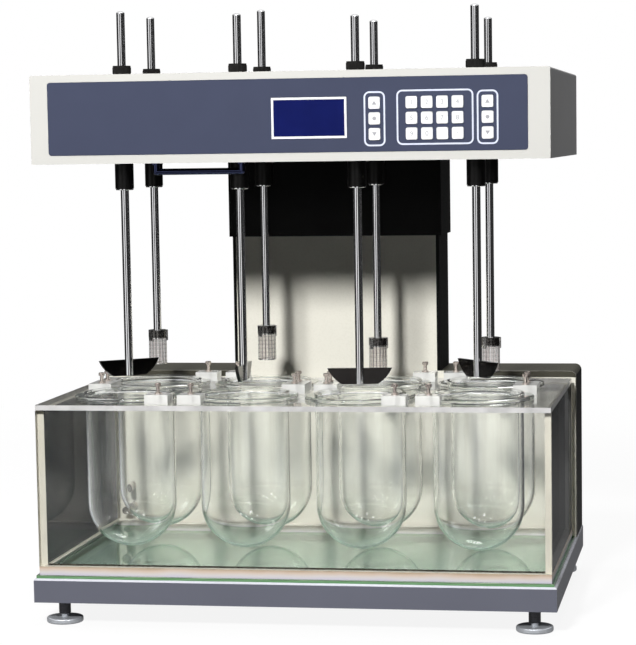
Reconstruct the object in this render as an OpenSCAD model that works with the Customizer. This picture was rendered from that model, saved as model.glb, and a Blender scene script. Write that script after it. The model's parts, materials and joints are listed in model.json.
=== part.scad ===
/* [Base and feet] */
// Width of the base chassis
base_w = 612; // [560:1:680]
// Depth of the base chassis, front to back
base_d = 430; // [410:1:480]
// Height of the base chassis
base_h = 28.5; // [20:0.5:40]
// Bend radius of the base chassis
base_r = 3; // [1:0.5:6]
// Sheet thickness of the base chassis
base_wall = 2; // [1:0.5:4]
// Height of the base's underside above the bench
foot_h = 28; // [22:1:45]
// Diameter of a foot's round pad
foot_pad_d = 43; // [30:1:60]
// Height of a foot's round pad
foot_pad_h = 6.5; // [5:0.5:10]
// Diameter of the neck between a foot's pad and its stud
foot_neck_d = 9; // [6:0.5:12]
// Height of that neck
foot_neck_h = 3.5; // [2:0.5:6]
// Diameter of a foot's stud
foot_stud_d = 14; // [10:0.5:16]
// Distance from the base's side to a foot's axis
foot_inset_x = 28; // [25:1:60]
// Distance from the base's front or back to a foot's axis
foot_inset_y = 30; // [25:1:60]
// How far a foot screws up or down from its middle place
foot_travel = 6; // [2:0.5:8]

/* [Water bath] */
// Thickness of the green glass sheet under the bath
sheet_t = 3.5; // [3:0.5:10]
// How far the glass sheet reaches past the bath on each side
sheet_margin = 3; // [0:0.5:4]
// Width of the bath
tank_w = 600; // [570:1:606]
// Depth of the bath, front to back
tank_d = 314; // [300:1:320]
// Height of the bath without the vessel plate
tank_h = 194; // [192:1:240]
// Thickness of the bath's walls
tank_wall = 8; // [5:0.5:12]
// Thickness of the bath's floor
tank_floor = 10; // [5:0.5:12]
// Distance from the base's front edge to the bath's front face
tank_inset = 5; // [3:0.5:20]
// Thickness of the clear plate that carries the vessels
plate_t = 6; // [4:0.5:10]

/* [Vessels] */
// Distance between neighbouring vessels along a row
vessel_pitch = 139; // [134:0.5:142]
// Distance between the two rows of vessels
row_pitch = 139; // [134:0.5:142]
// Distance from the bath's front face to the front row's axes
row_inset = 84; // [80:0.5:90]
// Outer diameter of a vessel
vessel_od = 106; // [96:0.5:110]
// Wall thickness of a vessel
vessel_wall = 2.5; // [1.5:0.1:4]
// Depth of a vessel below the top of the plate
vessel_depth = 178; // [150:1:180]
// Diameter of a vessel's rim flange
flange_d = 130; // [126:0.5:132]
// Thickness of a vessel's rim flange
flange_t = 5; // [3:0.5:8]
// Height of the lip round a vessel's mouth above its flange
lip_h = 2.5; // [1:0.5:5]
// Gap between a vessel and its hole in the plate
vessel_gap = 1; // [0.5:0.1:2]

/* [Vessel clamps] */
// Distance from a vessel's axis to its clamp, along the row
clamp_x = 50; // [48:0.5:52]
// Distance from a vessel's axis to its outer clamp, across the row
clamp_y = 59; // [56:0.5:60]
// Width of a clamp block
clamp_w = 28; // [24:0.5:32]
// Depth of a clamp block that holds one vessel
clamp_d = 24; // [20:0.5:28]
// Depth of a clamp block between the rows, which holds two vessels
clamp_mid_d = 46; // [40:0.5:54]
// Thickness of a clamp's lip above the flange
clamp_lip = 6; // [4:0.5:10]
// Diameter of a clamp screw's stem
screw_d = 4.4; // [3:0.1:6]
// Diameter of a clamp screw's knob
screw_knob_d = 7; // [6.5:0.1:10]
// Height of a clamp screw above its block
screw_h = 13; // [10:0.5:18]

/* [Rear housing] */
// Gap between the bath and the rear housing
housing_gap = 11; // [6:0.5:16]
// Thickness of the housing's sheet metal
skin = 2; // [1:0.1:3]
// Width of the rear cabinet
cabinet_w = 610; // [560:1:612]
// Depth of the rear cabinet
cabinet_d = 98; // [94:1:99]
// Height of the rear cabinet above the base
cabinet_h = 211.5; // [200:0.5:225]
// Corner radius of the rear cabinet's top
cabinet_r = 8; // [4:0.5:20]
// Width of the lift column
column_w = 266; // [240:1:280]
// Depth of the lift column
column_d = 88; // [85:1:92]
// Width of the dark edge that the column's cover shows beside its front sheet
column_edge = 4; // [3:0.5:10]

/* [Lift] */
// Distance from a vessel's inner bottom to the lowest tool, with the head down
tip_clear = 25.5; // [23:0.5:40]
// Distance from the cabinet's top to the shroud, with the head down
shroud_clear = 5; // [3:0.5:20]
// Distance from the column's top to the frame in the head's roof, with the head down
column_clear = 5; // [3:0.5:10]
// Gap between the shroud and the column
shroud_gap = 1.5; // [1:0.1:2]
// Diameter of a guide rod
rod_d = 16; // [12:0.5:18]
// Distance between the guide rods
rod_spacing = 160; // [150:1:180]
// Diameter of the lift screw
lift_screw_d = 14; // [12:0.5:18]
// Height of the lift carriage
carriage_h = 45; // [30:1:50]
// Width of the lift motor
lift_motor_w = 57; // [50:1:57]
// Height of the lift motor
lift_motor_h = 65; // [50:1:75]

/* [Head] */
// Width of the head
head_w = 600; // [580:1:620]
// Depth of the head, front to back
head_d = 408; // [400:1:420]
// Height of the head
head_h = 102; // [101:1:115]
// Distance from the vessel plate up to the raised head
head_clear = 278; // [275:1:290]
// Radius of the head's upper side edges
head_r = 3; // [2.5:0.5:8]
// Thickness of the front bezel
bezel_t = 4; // [3:0.5:6]
// Thickness of the head's floor plate
head_floor = 3; // [2:0.5:5]

/* [Control panel] */
// Width of the panel's front sheet
overlay_w = 554; // [540:1:560]
// Height of the panel's front sheet
overlay_h = 83.5; // [80:0.5:90]
// Thickness of the panel's front sheet
overlay_t = 1.5; // [1:0.1:2]
// How far the front sheet stands out of the bezel
overlay_proud = 0.5; // [0.2:0.1:0.8]
// Sideways place of the front sheet's middle
overlay_x = -2; // [-5:0.5:5]
// Height of the panel's middle above the head's underside
overlay_z = 51.75; // [50:0.25:52]
// Width of the display window
display_w = 86.6; // [80:0.1:90]
// Height of the display window
display_h = 46.3; // [40:0.1:50]
// Sideways place of the display's middle
display_x = 27; // [20:0.5:30]
// Height of the display's middle above the head's underside
display_z = 48.9; // [47:0.1:50]
// Width of a key
key_w = 13; // [10:0.1:13.5]
// Height of a key
key_h = 13.4; // [10:0.1:13.6]
// Distance between keys along a row
key_pitch_x = 17.35; // [17:0.05:18]
// Distance between rows of keys
key_pitch_z = 17.5; // [17:0.05:18.5]
// Sideways place of the single column of keys next to the display
key_left_x = 102; // [95:0.5:108]
// Sideways place of the middle of the block of keys
key_block_x = 170.3; // [169:0.1:172]
// Sideways place of the outer single column of keys
key_right_x = 230; // [225:0.5:235]
// Height of the middle row of keys above the head's underside
key_z = 47.2; // [46:0.1:49]
// How far a key goes in
key_travel = 0.6; // [0.3:0.1:0.7]
// How far a key stands out of the front sheet
key_proud = 1.5; // [1:0.1:2]

/* [Stations] */
// Diameter of a tool shaft
shaft_d = 9.75; // [8:0.05:10.5]
// Length of a tool from its tip to the top of its shaft
tool_len = 426; // [420:1:450]
// Distance from the vessel plate up to the lowest tool's tip
tool_clear = 17; // [14:1:25]
// Extra height of each paddle in its spindle
paddle_lift = [9.6, 4.2, 0, 8.8]; // [0:0.1:16]
// Extra height of each basket in its spindle
basket_lift = [9.8, 15.2, 0, 0.5]; // [0:0.1:16]
// Turn of each paddle blade about its shaft
paddle_turn = [38, 90, 7, -48]; // [-90:1:90]
// Radius of the circle that a paddle blade is cut from
blade_r = 41.5; // [40:0.5:44]
// Width of a paddle blade along its lower edge
blade_low_w = 42; // [38:0.5:46]
// Height of a paddle blade
blade_h = 19; // [15:0.5:20]
// Thickness of a paddle blade
blade_t = 4; // [3:0.1:5]
// Outer diameter of a basket
basket_d = 21.6; // [18:0.1:26]
// Height of a basket below its cap
basket_h = 33; // [28:0.5:36]
// Height of a basket's cap
cap_h = 9.4; // [6:0.1:12]
// Wall thickness of a basket
basket_wall = 0.6; // [0.4:0.1:1]
// Diameter of a spindle's chuck and journal
chuck_d = 22; // [20:0.5:24]
// Length of a spindle's chuck below the head
chuck_len = 30; // [20:1:40]
// Diameter of a spindle's upper sleeve
sleeve_d = 18; // [16:0.5:20]
// Diameter of the collar on top of a spindle
collar_d = 21; // [20:0.5:26]
// Height of the collar on top of a spindle
collar_h = 11; // [8:0.5:16]
// Diameter of a spindle's pulley
pulley_d = 40; // [34:0.5:44]
// Diameter of the motor's pulley
motor_pulley_d = 24; // [20:0.5:30]
// Width of the drive belt
belt_w = 10; // [6:0.5:12]
// Thickness of the drive belt
belt_t = 2; // [1.5:0.1:2.5]
// Width of the drive motor
motor_w = 66; // [50:1:70]

/* [Grab rail] */
// Diameter of the rail under the head
rail_d = 7.5; // [5:0.5:9]
// Length of the rail between its posts
rail_len = 102; // [90:1:110]
// Sideways place of the rail's middle
rail_x = -113; // [-120:0.5:-100]
// Distance from the head's underside to the rail's axis
rail_drop = 10.5; // [10:0.5:16]
// Gap between the rail's flanges and the front row's chucks
rail_clear = 3; // [1:0.5:8]

/* [Hidden] */
$fn = 64;
// Overlap that keeps cuts clean
eps = 0.01;
// Radial clearance of a turning or sliding fit
run_gap = 0.05;
// Radial clearance of a shaft held in its spindle
shaft_gap = 0.075;
// Clearance between a turning piece and a plate that it passes
pass_gap = 0.6;
// Clearance round a key or the display in its window
window_gap = 0.3;
// Clearance that lets a stopped piece stay just off its stop
stop_gap = 0.1;
// Gap between the belt and the pulleys
belt_gap = 0.3;
// How far a cut runs on past the face that it opens
over = 1;
// Joint line between two pieces that are glued, screwed or pressed together
seam = 0.05;

// Heights of the main faces above the bench
base_top = foot_h + base_h;
tank_z = base_top + sheet_t;
plate_z = tank_z + tank_h;
plate_top = plate_z + plate_t;
cabinet_top = base_top + cabinet_h;
head_z = plate_top + head_clear;
head_top = head_z + head_h;
floor_top = head_z + head_floor;
tool_z = plate_top + tool_clear;

// Depths of the main faces, with the base centred on the origin
tank_front = -base_d / 2 + tank_inset;
tank_back = tank_front + tank_d;
housing_front = tank_back + housing_gap;
panel_back = housing_front + skin;
cabinet_back = housing_front + cabinet_d;
column_back = housing_front + column_d;
head_back = cabinet_back;
head_front = head_back - head_d;
bezel_back = head_front + bezel_t;
front_row_y = tank_front + row_inset;

// Rows and columns of the stations
columns = 4;
rows = 2;
stations = columns * rows;
function col_x(c) = (c - (columns - 1) / 2) * vessel_pitch;
function row_y(r) = front_row_y + r * row_pitch;
function station_xy(i) = [col_x(i % columns), row_y(floor(i / columns))];
mid_y = (row_y(0) + row_y(1)) / 2;

// Feet
foot_x = base_w / 2 - foot_inset_x;
foot_y = base_d / 2 - foot_inset_y;
foot_boss_wall = 7;
foot_boss_d = foot_stud_d + 2 * foot_boss_wall;
foot_end_gap = 1;
foot_stud_top = base_top - base_wall - foot_travel - foot_end_gap;
foot_chamfer = 1;
foot_pad_r = 2;
foot_neck_top = foot_pad_h + foot_neck_h;
function foot_xy(i) = [(i % 2 == 0 ? -1 : 1) * foot_x, (i < 2 ? -1 : 1) * foot_y];

// Vessels
vessel_r = vessel_od / 2;
vessel_inner_r = vessel_r - vessel_wall;
vessel_ball_z = plate_top - vessel_depth + vessel_r;
lip_w = 3.5;

// Clamps
clamp_top = plate_top + flange_t + clamp_lip;
clamp_screw_gap = 0.2;
clamp_mid_screw = 13;
clamp_flange_gap = 0.5;
screw_foot_h = 2;
screw_foot_rim = 0.5;
screw_knob_h = 4.5;
screw_chamfer = 0.5;
// Side of its vessel, left or right, that each column's outer and middle clamps stand on
clamp_side = [1, -1, 1, -1];

// Lift: the head comes down until the lowest tool is at its distance from the vessel's bottom
lift_travel = tool_clear + vessel_depth - vessel_wall - tip_clear;
shroud_h = head_z - cabinet_top - lift_travel - shroud_clear;
mast_t = 6;
mast_flange_h = 6;
mast_top = head_top - skin;
column_top = mast_top - mast_flange_h - lift_travel - column_clear;
lift_y = (panel_back + column_back) / 2;
crosshead_h = 8;
crosshead_d = 30;
crosshead_drop = 4;
crosshead_top = column_top - crosshead_drop;
rod_top = crosshead_top - crosshead_h;
carriage_side = 30;
carriage_w = rod_spacing + 2 * carriage_side;
carriage_d = 36;
carriage_drop = 18;
carriage_top = rod_top - carriage_drop;
carriage_z = carriage_top - carriage_h;
mast_side = 20;
mast_w = rod_spacing + 2 * mast_side;
lift_motor_top = base_top + lift_motor_h;
lift_boss_h = 4;
lift_boss_d = 38;
lift_journal_d = 10;
lift_journal_len = 12;
lift_screw_clear = 4;
lift_journal_gap = 1;

// Circulator
heater_d = 46;
heater_len = 120;
pump_size = [70, 60, 66];
circulator_inset = 80;
circulator_x = -cabinet_w / 2 + circulator_inset;
circulator_y = (panel_back + cabinet_back - skin) / 2;
port_d = 12;
port_inset = 15;
port_rise = 16;
port_pitch = 30;
port_x = -min(tank_w / 2 - tank_wall, cabinet_w / 2 - skin) + port_inset;
port_low = tank_z + tank_floor + port_rise;
port_high = port_low + port_pitch;
port_gap = 0.3;
port_reach = 6;

// Mains inlet and its rocker switch, on the back of the cabinet
inlet_inset = 80;
inlet_rise = 60;
inlet_x = cabinet_w / 2 - inlet_inset;
inlet_z = base_top + inlet_rise;
inlet_plate = [50, 58];
inlet_plate_t = 1.8;
inlet_body = [30, 48];
inlet_body_d = 22;
socket_size = [24, 16];
socket_depth = 15;
socket_drop = 12;
rocker_rise = 11;
rocker_size = [13, 20];
rocker_well = [14, 23];
rocker_well_d = 11;
rocker_pivot = 5;
rocker_tilt = 8;
rocker_crown = 5.2;
rocker_dip = 3.8;
rocker_heel = 2.5;
rocker_heel_w = 8;
rocker_pin_d = 3;
rocker_pin_len = 16;
rocker_y = cabinet_back - rocker_pivot;
rocker_z = inlet_z + rocker_rise;

// Stations
bearing_wall = 7;
bearing_flange_w = 6;
bearing_flange_h = 5;
bearing_d = chuck_d + 2 * bearing_wall;
bearing_flange_d = bearing_d + 2 * bearing_flange_w;
bearing_h = 30;
bearing_top = floor_top + bearing_h;
journal_rise = 2;
journal_top = bearing_top + journal_rise;
pulley_rim = 2;
pulley_lip = 2;
pulley_rise = 5;
pulley_z = journal_top + pulley_rise;
belt_side_gap = 1;
pulley_w = belt_w + 2 * belt_side_gap;
pulley_top = pulley_z + pulley_w + 2 * pulley_lip;
collar_z = head_top + pass_gap;
collar_top = collar_z + collar_h;
belt_z = pulley_z + pulley_lip + belt_side_gap;
belt_in_r = pulley_d / 2 + belt_gap;
motor_x = 0;
motor_y = row_y(1) + (pulley_d - motor_pulley_d) / 2;
motor_top = floor_top + bearing_h;
motor_boss_h = 3;
motor_boss_d = 22;
motor_axle_d = 8;
motor_axle_len = 14;
motor_axle_gap = 1;
clip_count = 3;
clip_w = 5;
clip_t = 1.2;
clip_len = 13;
clip_gap = 0.6;
basket_rim_h = 1.5;
cap_rim = 0.5;

// Control panel
overlay_front = head_front - overlay_proud;
overlay_back = overlay_front + overlay_t;
overlay_r = 3.5;
overlay_gap = 0.2;
key_r = 2;
key_rim = 1;
key_rim_t = 1.2;
key_front = overlay_front - key_proud;
key_rim_front = bezel_back + stop_gap;
key_rim_back = key_rim_front + key_rim_t;
switch_front = key_rim_back + key_travel + 2 * stop_gap;
switch_w = 6;
board_gap = 5;
board_t = 1.6;
board_front = bezel_back + board_gap;
board_margin = 12;
board_left = display_x - display_w / 2 - board_margin;
board_right = key_right_x + key_w / 2 + board_margin;
board_low = key_z - key_pitch_z - key_h / 2 - board_margin / 2;
board_high = display_z + display_h / 2 + board_margin / 2;
post_d = 6;
display_proud = 0.4;
display_front = overlay_front - display_proud;
display_rim = 3;
key_rows = 3;
key_columns = [
    key_left_x,
    key_block_x - 1.5 * key_pitch_x,
    key_block_x - 0.5 * key_pitch_x,
    key_block_x + 0.5 * key_pitch_x,
    key_block_x + 1.5 * key_pitch_x,
    key_right_x
];
keys = key_rows * len(key_columns);
function key_xz(k) = [
    key_columns[k % len(key_columns)],
    head_z + key_z + (1 - floor(k / len(key_columns))) * key_pitch_z
];

// Rail
rail_z = head_z - rail_drop;
rail_flange_w = 4;
rail_flange_d = rail_d + 2 * rail_flange_w;
rail_flange_h = 2;
rail_y = row_y(0) - chuck_d / 2 - rail_clear - rail_flange_d / 2;

// Box between two opposite corners
module span(low, high) {
    translate(low)
        cube(high - low);
}

// Flat outline in X and Z, made solid from y0 to y1
module along_y(y0, y1) {
    translate([0, y1, 0])
        rotate([90, 0, 0])
            linear_extrude(y1 - y0)
                children();
}

// Flat outline in Y and Z, made solid from x0 to x1
module along_x(x0, x1) {
    translate([x0, 0, 0])
        rotate([90, 0, 90])
            linear_extrude(x1 - x0)
                children();
}

// Rectangle with round corners, centred on the origin
module round_rect(w, h, r) {
    square([w - 2 * r, h], center = true);
    square([w, h - 2 * r], center = true);
    for (x = [-1, 1], z = [-1, 1])
        translate([x * (w / 2 - r), z * (h / 2 - r)])
            circle(r);
}

// Rectangle that stands on the X axis, with its two upper corners round
module round_top(w, h, r) {
    translate([-w / 2, 0])
        square([w, h - r]);
    translate([-w / 2 + r, 0])
        square([w - 2 * r, h]);
    for (x = [-1, 1])
        translate([x * (w / 2 - r), h - r])
            circle(r);
}

// Upright cylinder from z0 to z1 at a place in plan
module post(xy, d, z0, z1) {
    translate([xy[0], xy[1], z0])
        cylinder(d = d, h = z1 - z0);
}

// Folded tray, solid, that stands at z with its upper edges round
module tray(w, d, h, r, z) {
    intersection() {
        along_y(-d / 2, d / 2)
            translate([0, z])
                round_top(w, h, r);
        along_x(-w / 2, w / 2)
            translate([0, z])
                round_top(d, h, r);
    }
}

// Places of all stations
module at_stations() {
    for (i = [0:stations - 1])
        translate([station_xy(i)[0], station_xy(i)[1], 0])
            children();
}

// Folded tray with a threaded boss for each foot
module base_chassis() {
    color([0.45, 0.46, 0.52])
        difference() {
            union() {
                difference() {
                    tray(base_w, base_d, base_h, base_r, foot_h);
                    tray(
                        base_w - 2 * base_wall,
                        base_d - 2 * base_wall,
                        base_h - base_wall + over,
                        base_r / 2,
                        foot_h - over
                    );
                }
                for (i = [0:3])
                    post(foot_xy(i), foot_boss_d, foot_h, base_top - base_wall + eps);
            }
            for (i = [0:3])
                post(foot_xy(i), foot_stud_d + 2 * run_gap, foot_h - over, base_top - base_wall);
        }
}

// Half outline of a foot's pad, a flat disc with round edges
module foot_pad() {
    flat_r = foot_pad_d / 2 - foot_pad_r;
    square([flat_r, foot_pad_h]);
    translate([0, foot_pad_r])
        square([foot_pad_d / 2, foot_pad_h - 2 * foot_pad_r]);
    for (z = [foot_pad_r, foot_pad_h - foot_pad_r])
        translate([flat_r, z])
            circle(foot_pad_r);
}

// Levelling foot: a turned pad and its neck on a stud
module foot(i) {
    color([0.8, 0.8, 0.82])
        translate([foot_xy(i)[0], foot_xy(i)[1], 0])
            rotate_extrude() {
                foot_pad();
                square([foot_neck_d / 2, foot_neck_top + eps]);
                polygon([
                    [0, foot_neck_top],
                    [foot_stud_d / 2 - foot_chamfer, foot_neck_top],
                    [foot_stud_d / 2, foot_neck_top + foot_chamfer],
                    [foot_stud_d / 2, foot_stud_top],
                    [0, foot_stud_top]
                ]);
            }
}

// Green glass sheet between the base and the bath
module glass_sheet() {
    color([0.6, 0.75, 0.68])
        span(
            [-tank_w / 2 - sheet_margin, tank_front - sheet_margin, base_top],
            [tank_w / 2 + sheet_margin, tank_back + sheet_margin, tank_z]
        );
}

// Bath of five clear panels, with two holes in the back one for the circulator's ports
module water_tank() {
    color([0.85, 0.9, 0.88]) {
        wall_z = tank_z + tank_floor + seam;
        side_y = tank_wall + seam;
        x = tank_w / 2;
        span([-x, tank_front, tank_z], [x, tank_back, tank_z + tank_floor]);
        span([-x, tank_front, wall_z], [x, tank_front + tank_wall, plate_z]);
        difference() {
            span([-x, tank_back - tank_wall, wall_z], [x, tank_back, plate_z]);
            for (z = [port_low, port_high])
                translate([port_x, tank_back + over, z])
                    rotate([90, 0, 0])
                        cylinder(d = port_d + 2 * port_gap, h = tank_wall + 2 * over);
        }
        for (side = [-1, 1])
            span(
                [side < 0 ? -x : x - tank_wall, tank_front + side_y, wall_z],
                [side < 0 ? -x + tank_wall : x, tank_back - side_y, plate_z]
            );
    }
}

// Clear top plate with a hole for each vessel
module vessel_plate() {
    color([0.88, 0.92, 0.92])
        difference() {
            span([-tank_w / 2, tank_front, plate_z], [tank_w / 2, tank_back, plate_top]);
            at_stations()
                post([0, 0], vessel_od + 2 * vessel_gap, plate_z - over, plate_top + over);
        }
}

// Half outline of a round-bottomed body that reaches up to z
module round_bottom(r, z) {
    intersection() {
        translate([0, vessel_ball_z])
            circle(r);
        translate([0, vessel_ball_z - r])
            square(r);
    }
    translate([0, vessel_ball_z])
        square([r, z - vessel_ball_z]);
}

// Round-bottomed glass vessels, each hung by its flange
module vessels() {
    color([0.9, 0.95, 0.95])
        at_stations()
            rotate_extrude()
                difference() {
                    union() {
                        round_bottom(vessel_r, plate_top + flange_t);
                        translate([0, plate_top])
                            square([flange_d / 2 - flange_t / 2, flange_t]);
                        translate([flange_d / 2 - flange_t / 2, plate_top + flange_t / 2])
                            circle(flange_t / 2);
                        translate([0, plate_top + flange_t])
                            square([vessel_inner_r + lip_w, lip_h]);
                    }
                    round_bottom(vessel_inner_r, plate_top + flange_t + lip_h + over);
                }
}

// Places of the clamps that hold one vessel each, in front of and behind the rows
function outer_clamp(c, r) = [
    col_x(c) + clamp_side[c] * clamp_x,
    row_y(r) + (r == 0 ? -1 : 1) * clamp_y
];
// Places of the clamps between the rows, which hold two vessels each
function middle_clamp(c) = [col_x(c) - clamp_side[c] * clamp_x, mid_y];

// One clear block that stands on the plate
module clamp_block(xy, d) {
    span(
        [xy[0] - clamp_w / 2, xy[1] - d / 2, plate_top],
        [xy[0] + clamp_w / 2, xy[1] + d / 2, clamp_top]
    );
}

// Hole for a clamp screw's stem
module clamp_hole(xy) {
    post(xy, screw_d + 2 * clamp_screw_gap, plate_top - over, clamp_top + over);
}

// Clear blocks whose lips hold the vessels' flanges down
module clamp_blocks() {
    color([0.9, 0.92, 0.92])
        difference() {
            for (c = [0:columns - 1]) {
                clamp_block(outer_clamp(c, 0), clamp_d);
                clamp_block(outer_clamp(c, 1), clamp_d);
                clamp_block(middle_clamp(c), clamp_mid_d);
            }
            at_stations()
                post([0, 0], flange_d + 2 * clamp_flange_gap, plate_top - over, plate_top + flange_t);
            for (c = [0:columns - 1]) {
                clamp_hole(outer_clamp(c, 0));
                clamp_hole(outer_clamp(c, 1));
                for (side = [-1, 1])
                    clamp_hole(middle_clamp(c) + [0, side * clamp_mid_screw]);
            }
        }
}

// One turned thumb screw that stands on a clamp block
module clamp_screw(xy) {
    neck_z = clamp_top + screw_foot_h;
    knob_z = clamp_top + screw_h - screw_knob_h;
    translate([xy[0], xy[1], 0])
        rotate_extrude()
            polygon([
                [0, plate_top],
                [screw_d / 2, plate_top],
                [screw_d / 2, clamp_top],
                [screw_knob_d / 2 + screw_foot_rim, clamp_top],
                [screw_knob_d / 2 + screw_foot_rim, neck_z],
                [screw_d / 2, neck_z],
                [screw_d / 2, knob_z],
                [screw_knob_d / 2, knob_z + screw_chamfer],
                [screw_knob_d / 2, clamp_top + screw_h - screw_chamfer],
                [screw_knob_d / 2 - screw_chamfer, clamp_top + screw_h],
                [0, clamp_top + screw_h]
            ]);
}

// Thumb screws of all clamps
module clamp_screws() {
    color([0.75, 0.75, 0.76])
        for (c = [0:columns - 1]) {
            clamp_screw(outer_clamp(c, 0));
            clamp_screw(outer_clamp(c, 1));
            for (side = [-1, 1])
                clamp_screw(middle_clamp(c) + [0, side * clamp_mid_screw]);
        }
}

// Cream front sheet of the cabinet and the column, in one inverted T
module rear_fascia() {
    front_w = column_w - 2 * (column_edge + seam);
    color([0.9, 0.89, 0.83])
        difference() {
            along_y(housing_front, panel_back) {
                translate([0, base_top])
                    round_top(cabinet_w, cabinet_h, cabinet_r);
                translate([-front_w / 2, cabinet_top - cabinet_r])
                    square([front_w, column_top - cabinet_top + cabinet_r]);
            }
            for (z = [port_low, port_high])
                translate([port_x, panel_back + over, z])
                    rotate([90, 0, 0])
                        cylinder(d = port_d + 2 * port_gap, h = skin + 2 * over);
        }
}

// Dark cover of the cabinet: top, sides and back, with a way up into the column
module cabinet_cover() {
    color([0.2, 0.2, 0.2])
        difference() {
            along_y(panel_back, cabinet_back)
                translate([0, base_top])
                    round_top(cabinet_w, cabinet_h, cabinet_r);
            along_y(panel_back - over, cabinet_back - skin)
                translate([0, base_top - over])
                    round_top(cabinet_w - 2 * skin, cabinet_h + over - skin, cabinet_r - skin);
            span(
                [-column_w / 2 + 2 * skin, panel_back - over, cabinet_top - skin - over],
                [column_w / 2 - 2 * skin, column_back - 2 * skin, cabinet_top + over]
            );
            span(
                [inlet_x - inlet_body[0] / 2, cabinet_back - skin - over, inlet_z - inlet_body[1] / 2],
                [inlet_x + inlet_body[0] / 2, cabinet_back + over, inlet_z + inlet_body[1] / 2]
            );
        }
}

// Dark cover of the column: two sides with folded front edges, and a back
module column_cover() {
    color([0.2, 0.2, 0.2])
        difference() {
            span([-column_w / 2, housing_front, cabinet_top], [column_w / 2, column_back, column_top]);
            span(
                [-column_w / 2 + skin, panel_back, cabinet_top - over],
                [column_w / 2 - skin, column_back - skin, column_top + over]
            );
            span(
                [-column_w / 2 + column_edge, housing_front - over, cabinet_top - over],
                [column_w / 2 - column_edge, panel_back + over, column_top + over]
            );
        }
}

// Two guide rods and the crosshead that ties their tops to the column
module guide_rods() {
    color([0.8, 0.8, 0.82]) {
        for (side = [-1, 1])
            post([side * rod_spacing / 2, lift_y], rod_d, base_top, rod_top - seam);
        difference() {
            span(
                [-column_w / 2 + skin, lift_y - crosshead_d / 2, rod_top],
                [column_w / 2 - skin, lift_y + crosshead_d / 2, crosshead_top]
            );
            post([0, lift_y], lift_journal_d + 2 * run_gap, rod_top - over, crosshead_top + over);
        }
    }
}

// Screw that raises and lowers the carriage
module lift_screw() {
    low = lift_motor_top + lift_boss_h;
    color([0.7, 0.7, 0.72]) {
        post([0, lift_y], lift_screw_d, low + lift_screw_clear, rod_top - lift_screw_clear);
        post([0, lift_y], lift_journal_d, low - lift_journal_len, crosshead_top - lift_journal_gap);
    }
}

// Motor of the lift, which stands on the base
module lift_motor() {
    color([0.25, 0.25, 0.27])
        difference() {
            union() {
                span(
                    [-lift_motor_w / 2, lift_y - lift_motor_w / 2, base_top],
                    [lift_motor_w / 2, lift_y + lift_motor_w / 2, lift_motor_top]
                );
                post([0, lift_y], lift_boss_d, lift_motor_top - eps, lift_motor_top + lift_boss_h);
            }
            post(
                [0, lift_y],
                lift_journal_d + 2 * run_gap,
                lift_motor_top + lift_boss_h - lift_journal_len - lift_journal_gap,
                lift_motor_top + lift_boss_h + over
            );
        }
}

// Pipe from the circulator, through the fascia and the bath's back panel
module bath_port(z) {
    translate([port_x, circulator_y, z])
        rotate([90, 0, 0])
            cylinder(d = port_d, h = circulator_y - tank_back + tank_wall + port_reach);
}

// Pump, heater barrel and the two ports that serve the bath
module bath_circulator() {
    color([0.55, 0.55, 0.57]) {
        pump_x = circulator_x - pump_size[0] / 2;
        pump_y = circulator_y - pump_size[1] / 2;
        union() {
            translate([pump_x, pump_y, base_top])
                cube(pump_size);
            post(
                [circulator_x, circulator_y],
                heater_d,
                base_top + pump_size[2] - eps,
                base_top + pump_size[2] + heater_len
            );
            bath_port(port_low);
            bath_port(port_high);
            span(
                [port_x - port_d / 2, circulator_y - port_d / 2, port_low - port_d],
                [pump_x + 2 * port_d, circulator_y + port_d / 2, port_high + port_d]
            );
        }
    }
}

// Mains inlet with a well for the rocker switch, in the cabinet's back
module power_inlet() {
    color([0.08, 0.08, 0.08])
        difference() {
            union() {
                span(
                    [inlet_x - inlet_plate[0] / 2, cabinet_back, inlet_z - inlet_plate[1] / 2],
                    [inlet_x + inlet_plate[0] / 2, cabinet_back + inlet_plate_t, inlet_z + inlet_plate[1] / 2]
                );
                span(
                    [inlet_x - inlet_body[0] / 2, cabinet_back - inlet_body_d, inlet_z - inlet_body[1] / 2],
                    [inlet_x + inlet_body[0] / 2, cabinet_back + eps, inlet_z + inlet_body[1] / 2]
                );
            }
            translate([inlet_x, cabinet_back + inlet_plate_t - socket_depth, inlet_z - socket_drop])
                translate([-socket_size[0] / 2, 0, -socket_size[1] / 2])
                    cube([socket_size[0], socket_depth + over, socket_size[1]]);
            translate([inlet_x - rocker_well[0] / 2, cabinet_back - rocker_well_d, rocker_z - rocker_well[1] / 2])
                cube([rocker_well[0], rocker_well_d + inlet_plate_t + over, rocker_well[1]]);
            translate([inlet_x - rocker_pin_len / 2 - run_gap, rocker_y, rocker_z])
                rotate([0, 90, 0])
                    cylinder(d = rocker_pin_d + 2 * run_gap, h = rocker_pin_len + 2 * run_gap);
        }
}

// Rocker of the mains switch on its cross pin
module power_switch() {
    half = rocker_size[1] / 2;
    color([0.1, 0.1, 0.1])
        translate([inlet_x, rocker_y, rocker_z])
            rotate([rocker_tilt, 0, 0]) {
                rotate([90, 0, 90])
                    translate([0, 0, -rocker_size[0] / 2])
                        linear_extrude(rocker_size[0])
                            polygon([
                                [-rocker_heel, -rocker_heel_w / 2],
                                [rocker_crown, -half],
                                [rocker_dip, 0],
                                [rocker_crown, half],
                                [-rocker_heel, rocker_heel_w / 2]
                            ]);
                rotate([0, 90, 0])
                    translate([0, 0, -rocker_pin_len / 2])
                        cylinder(d = rocker_pin_d, h = rocker_pin_len);
            }
}

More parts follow.
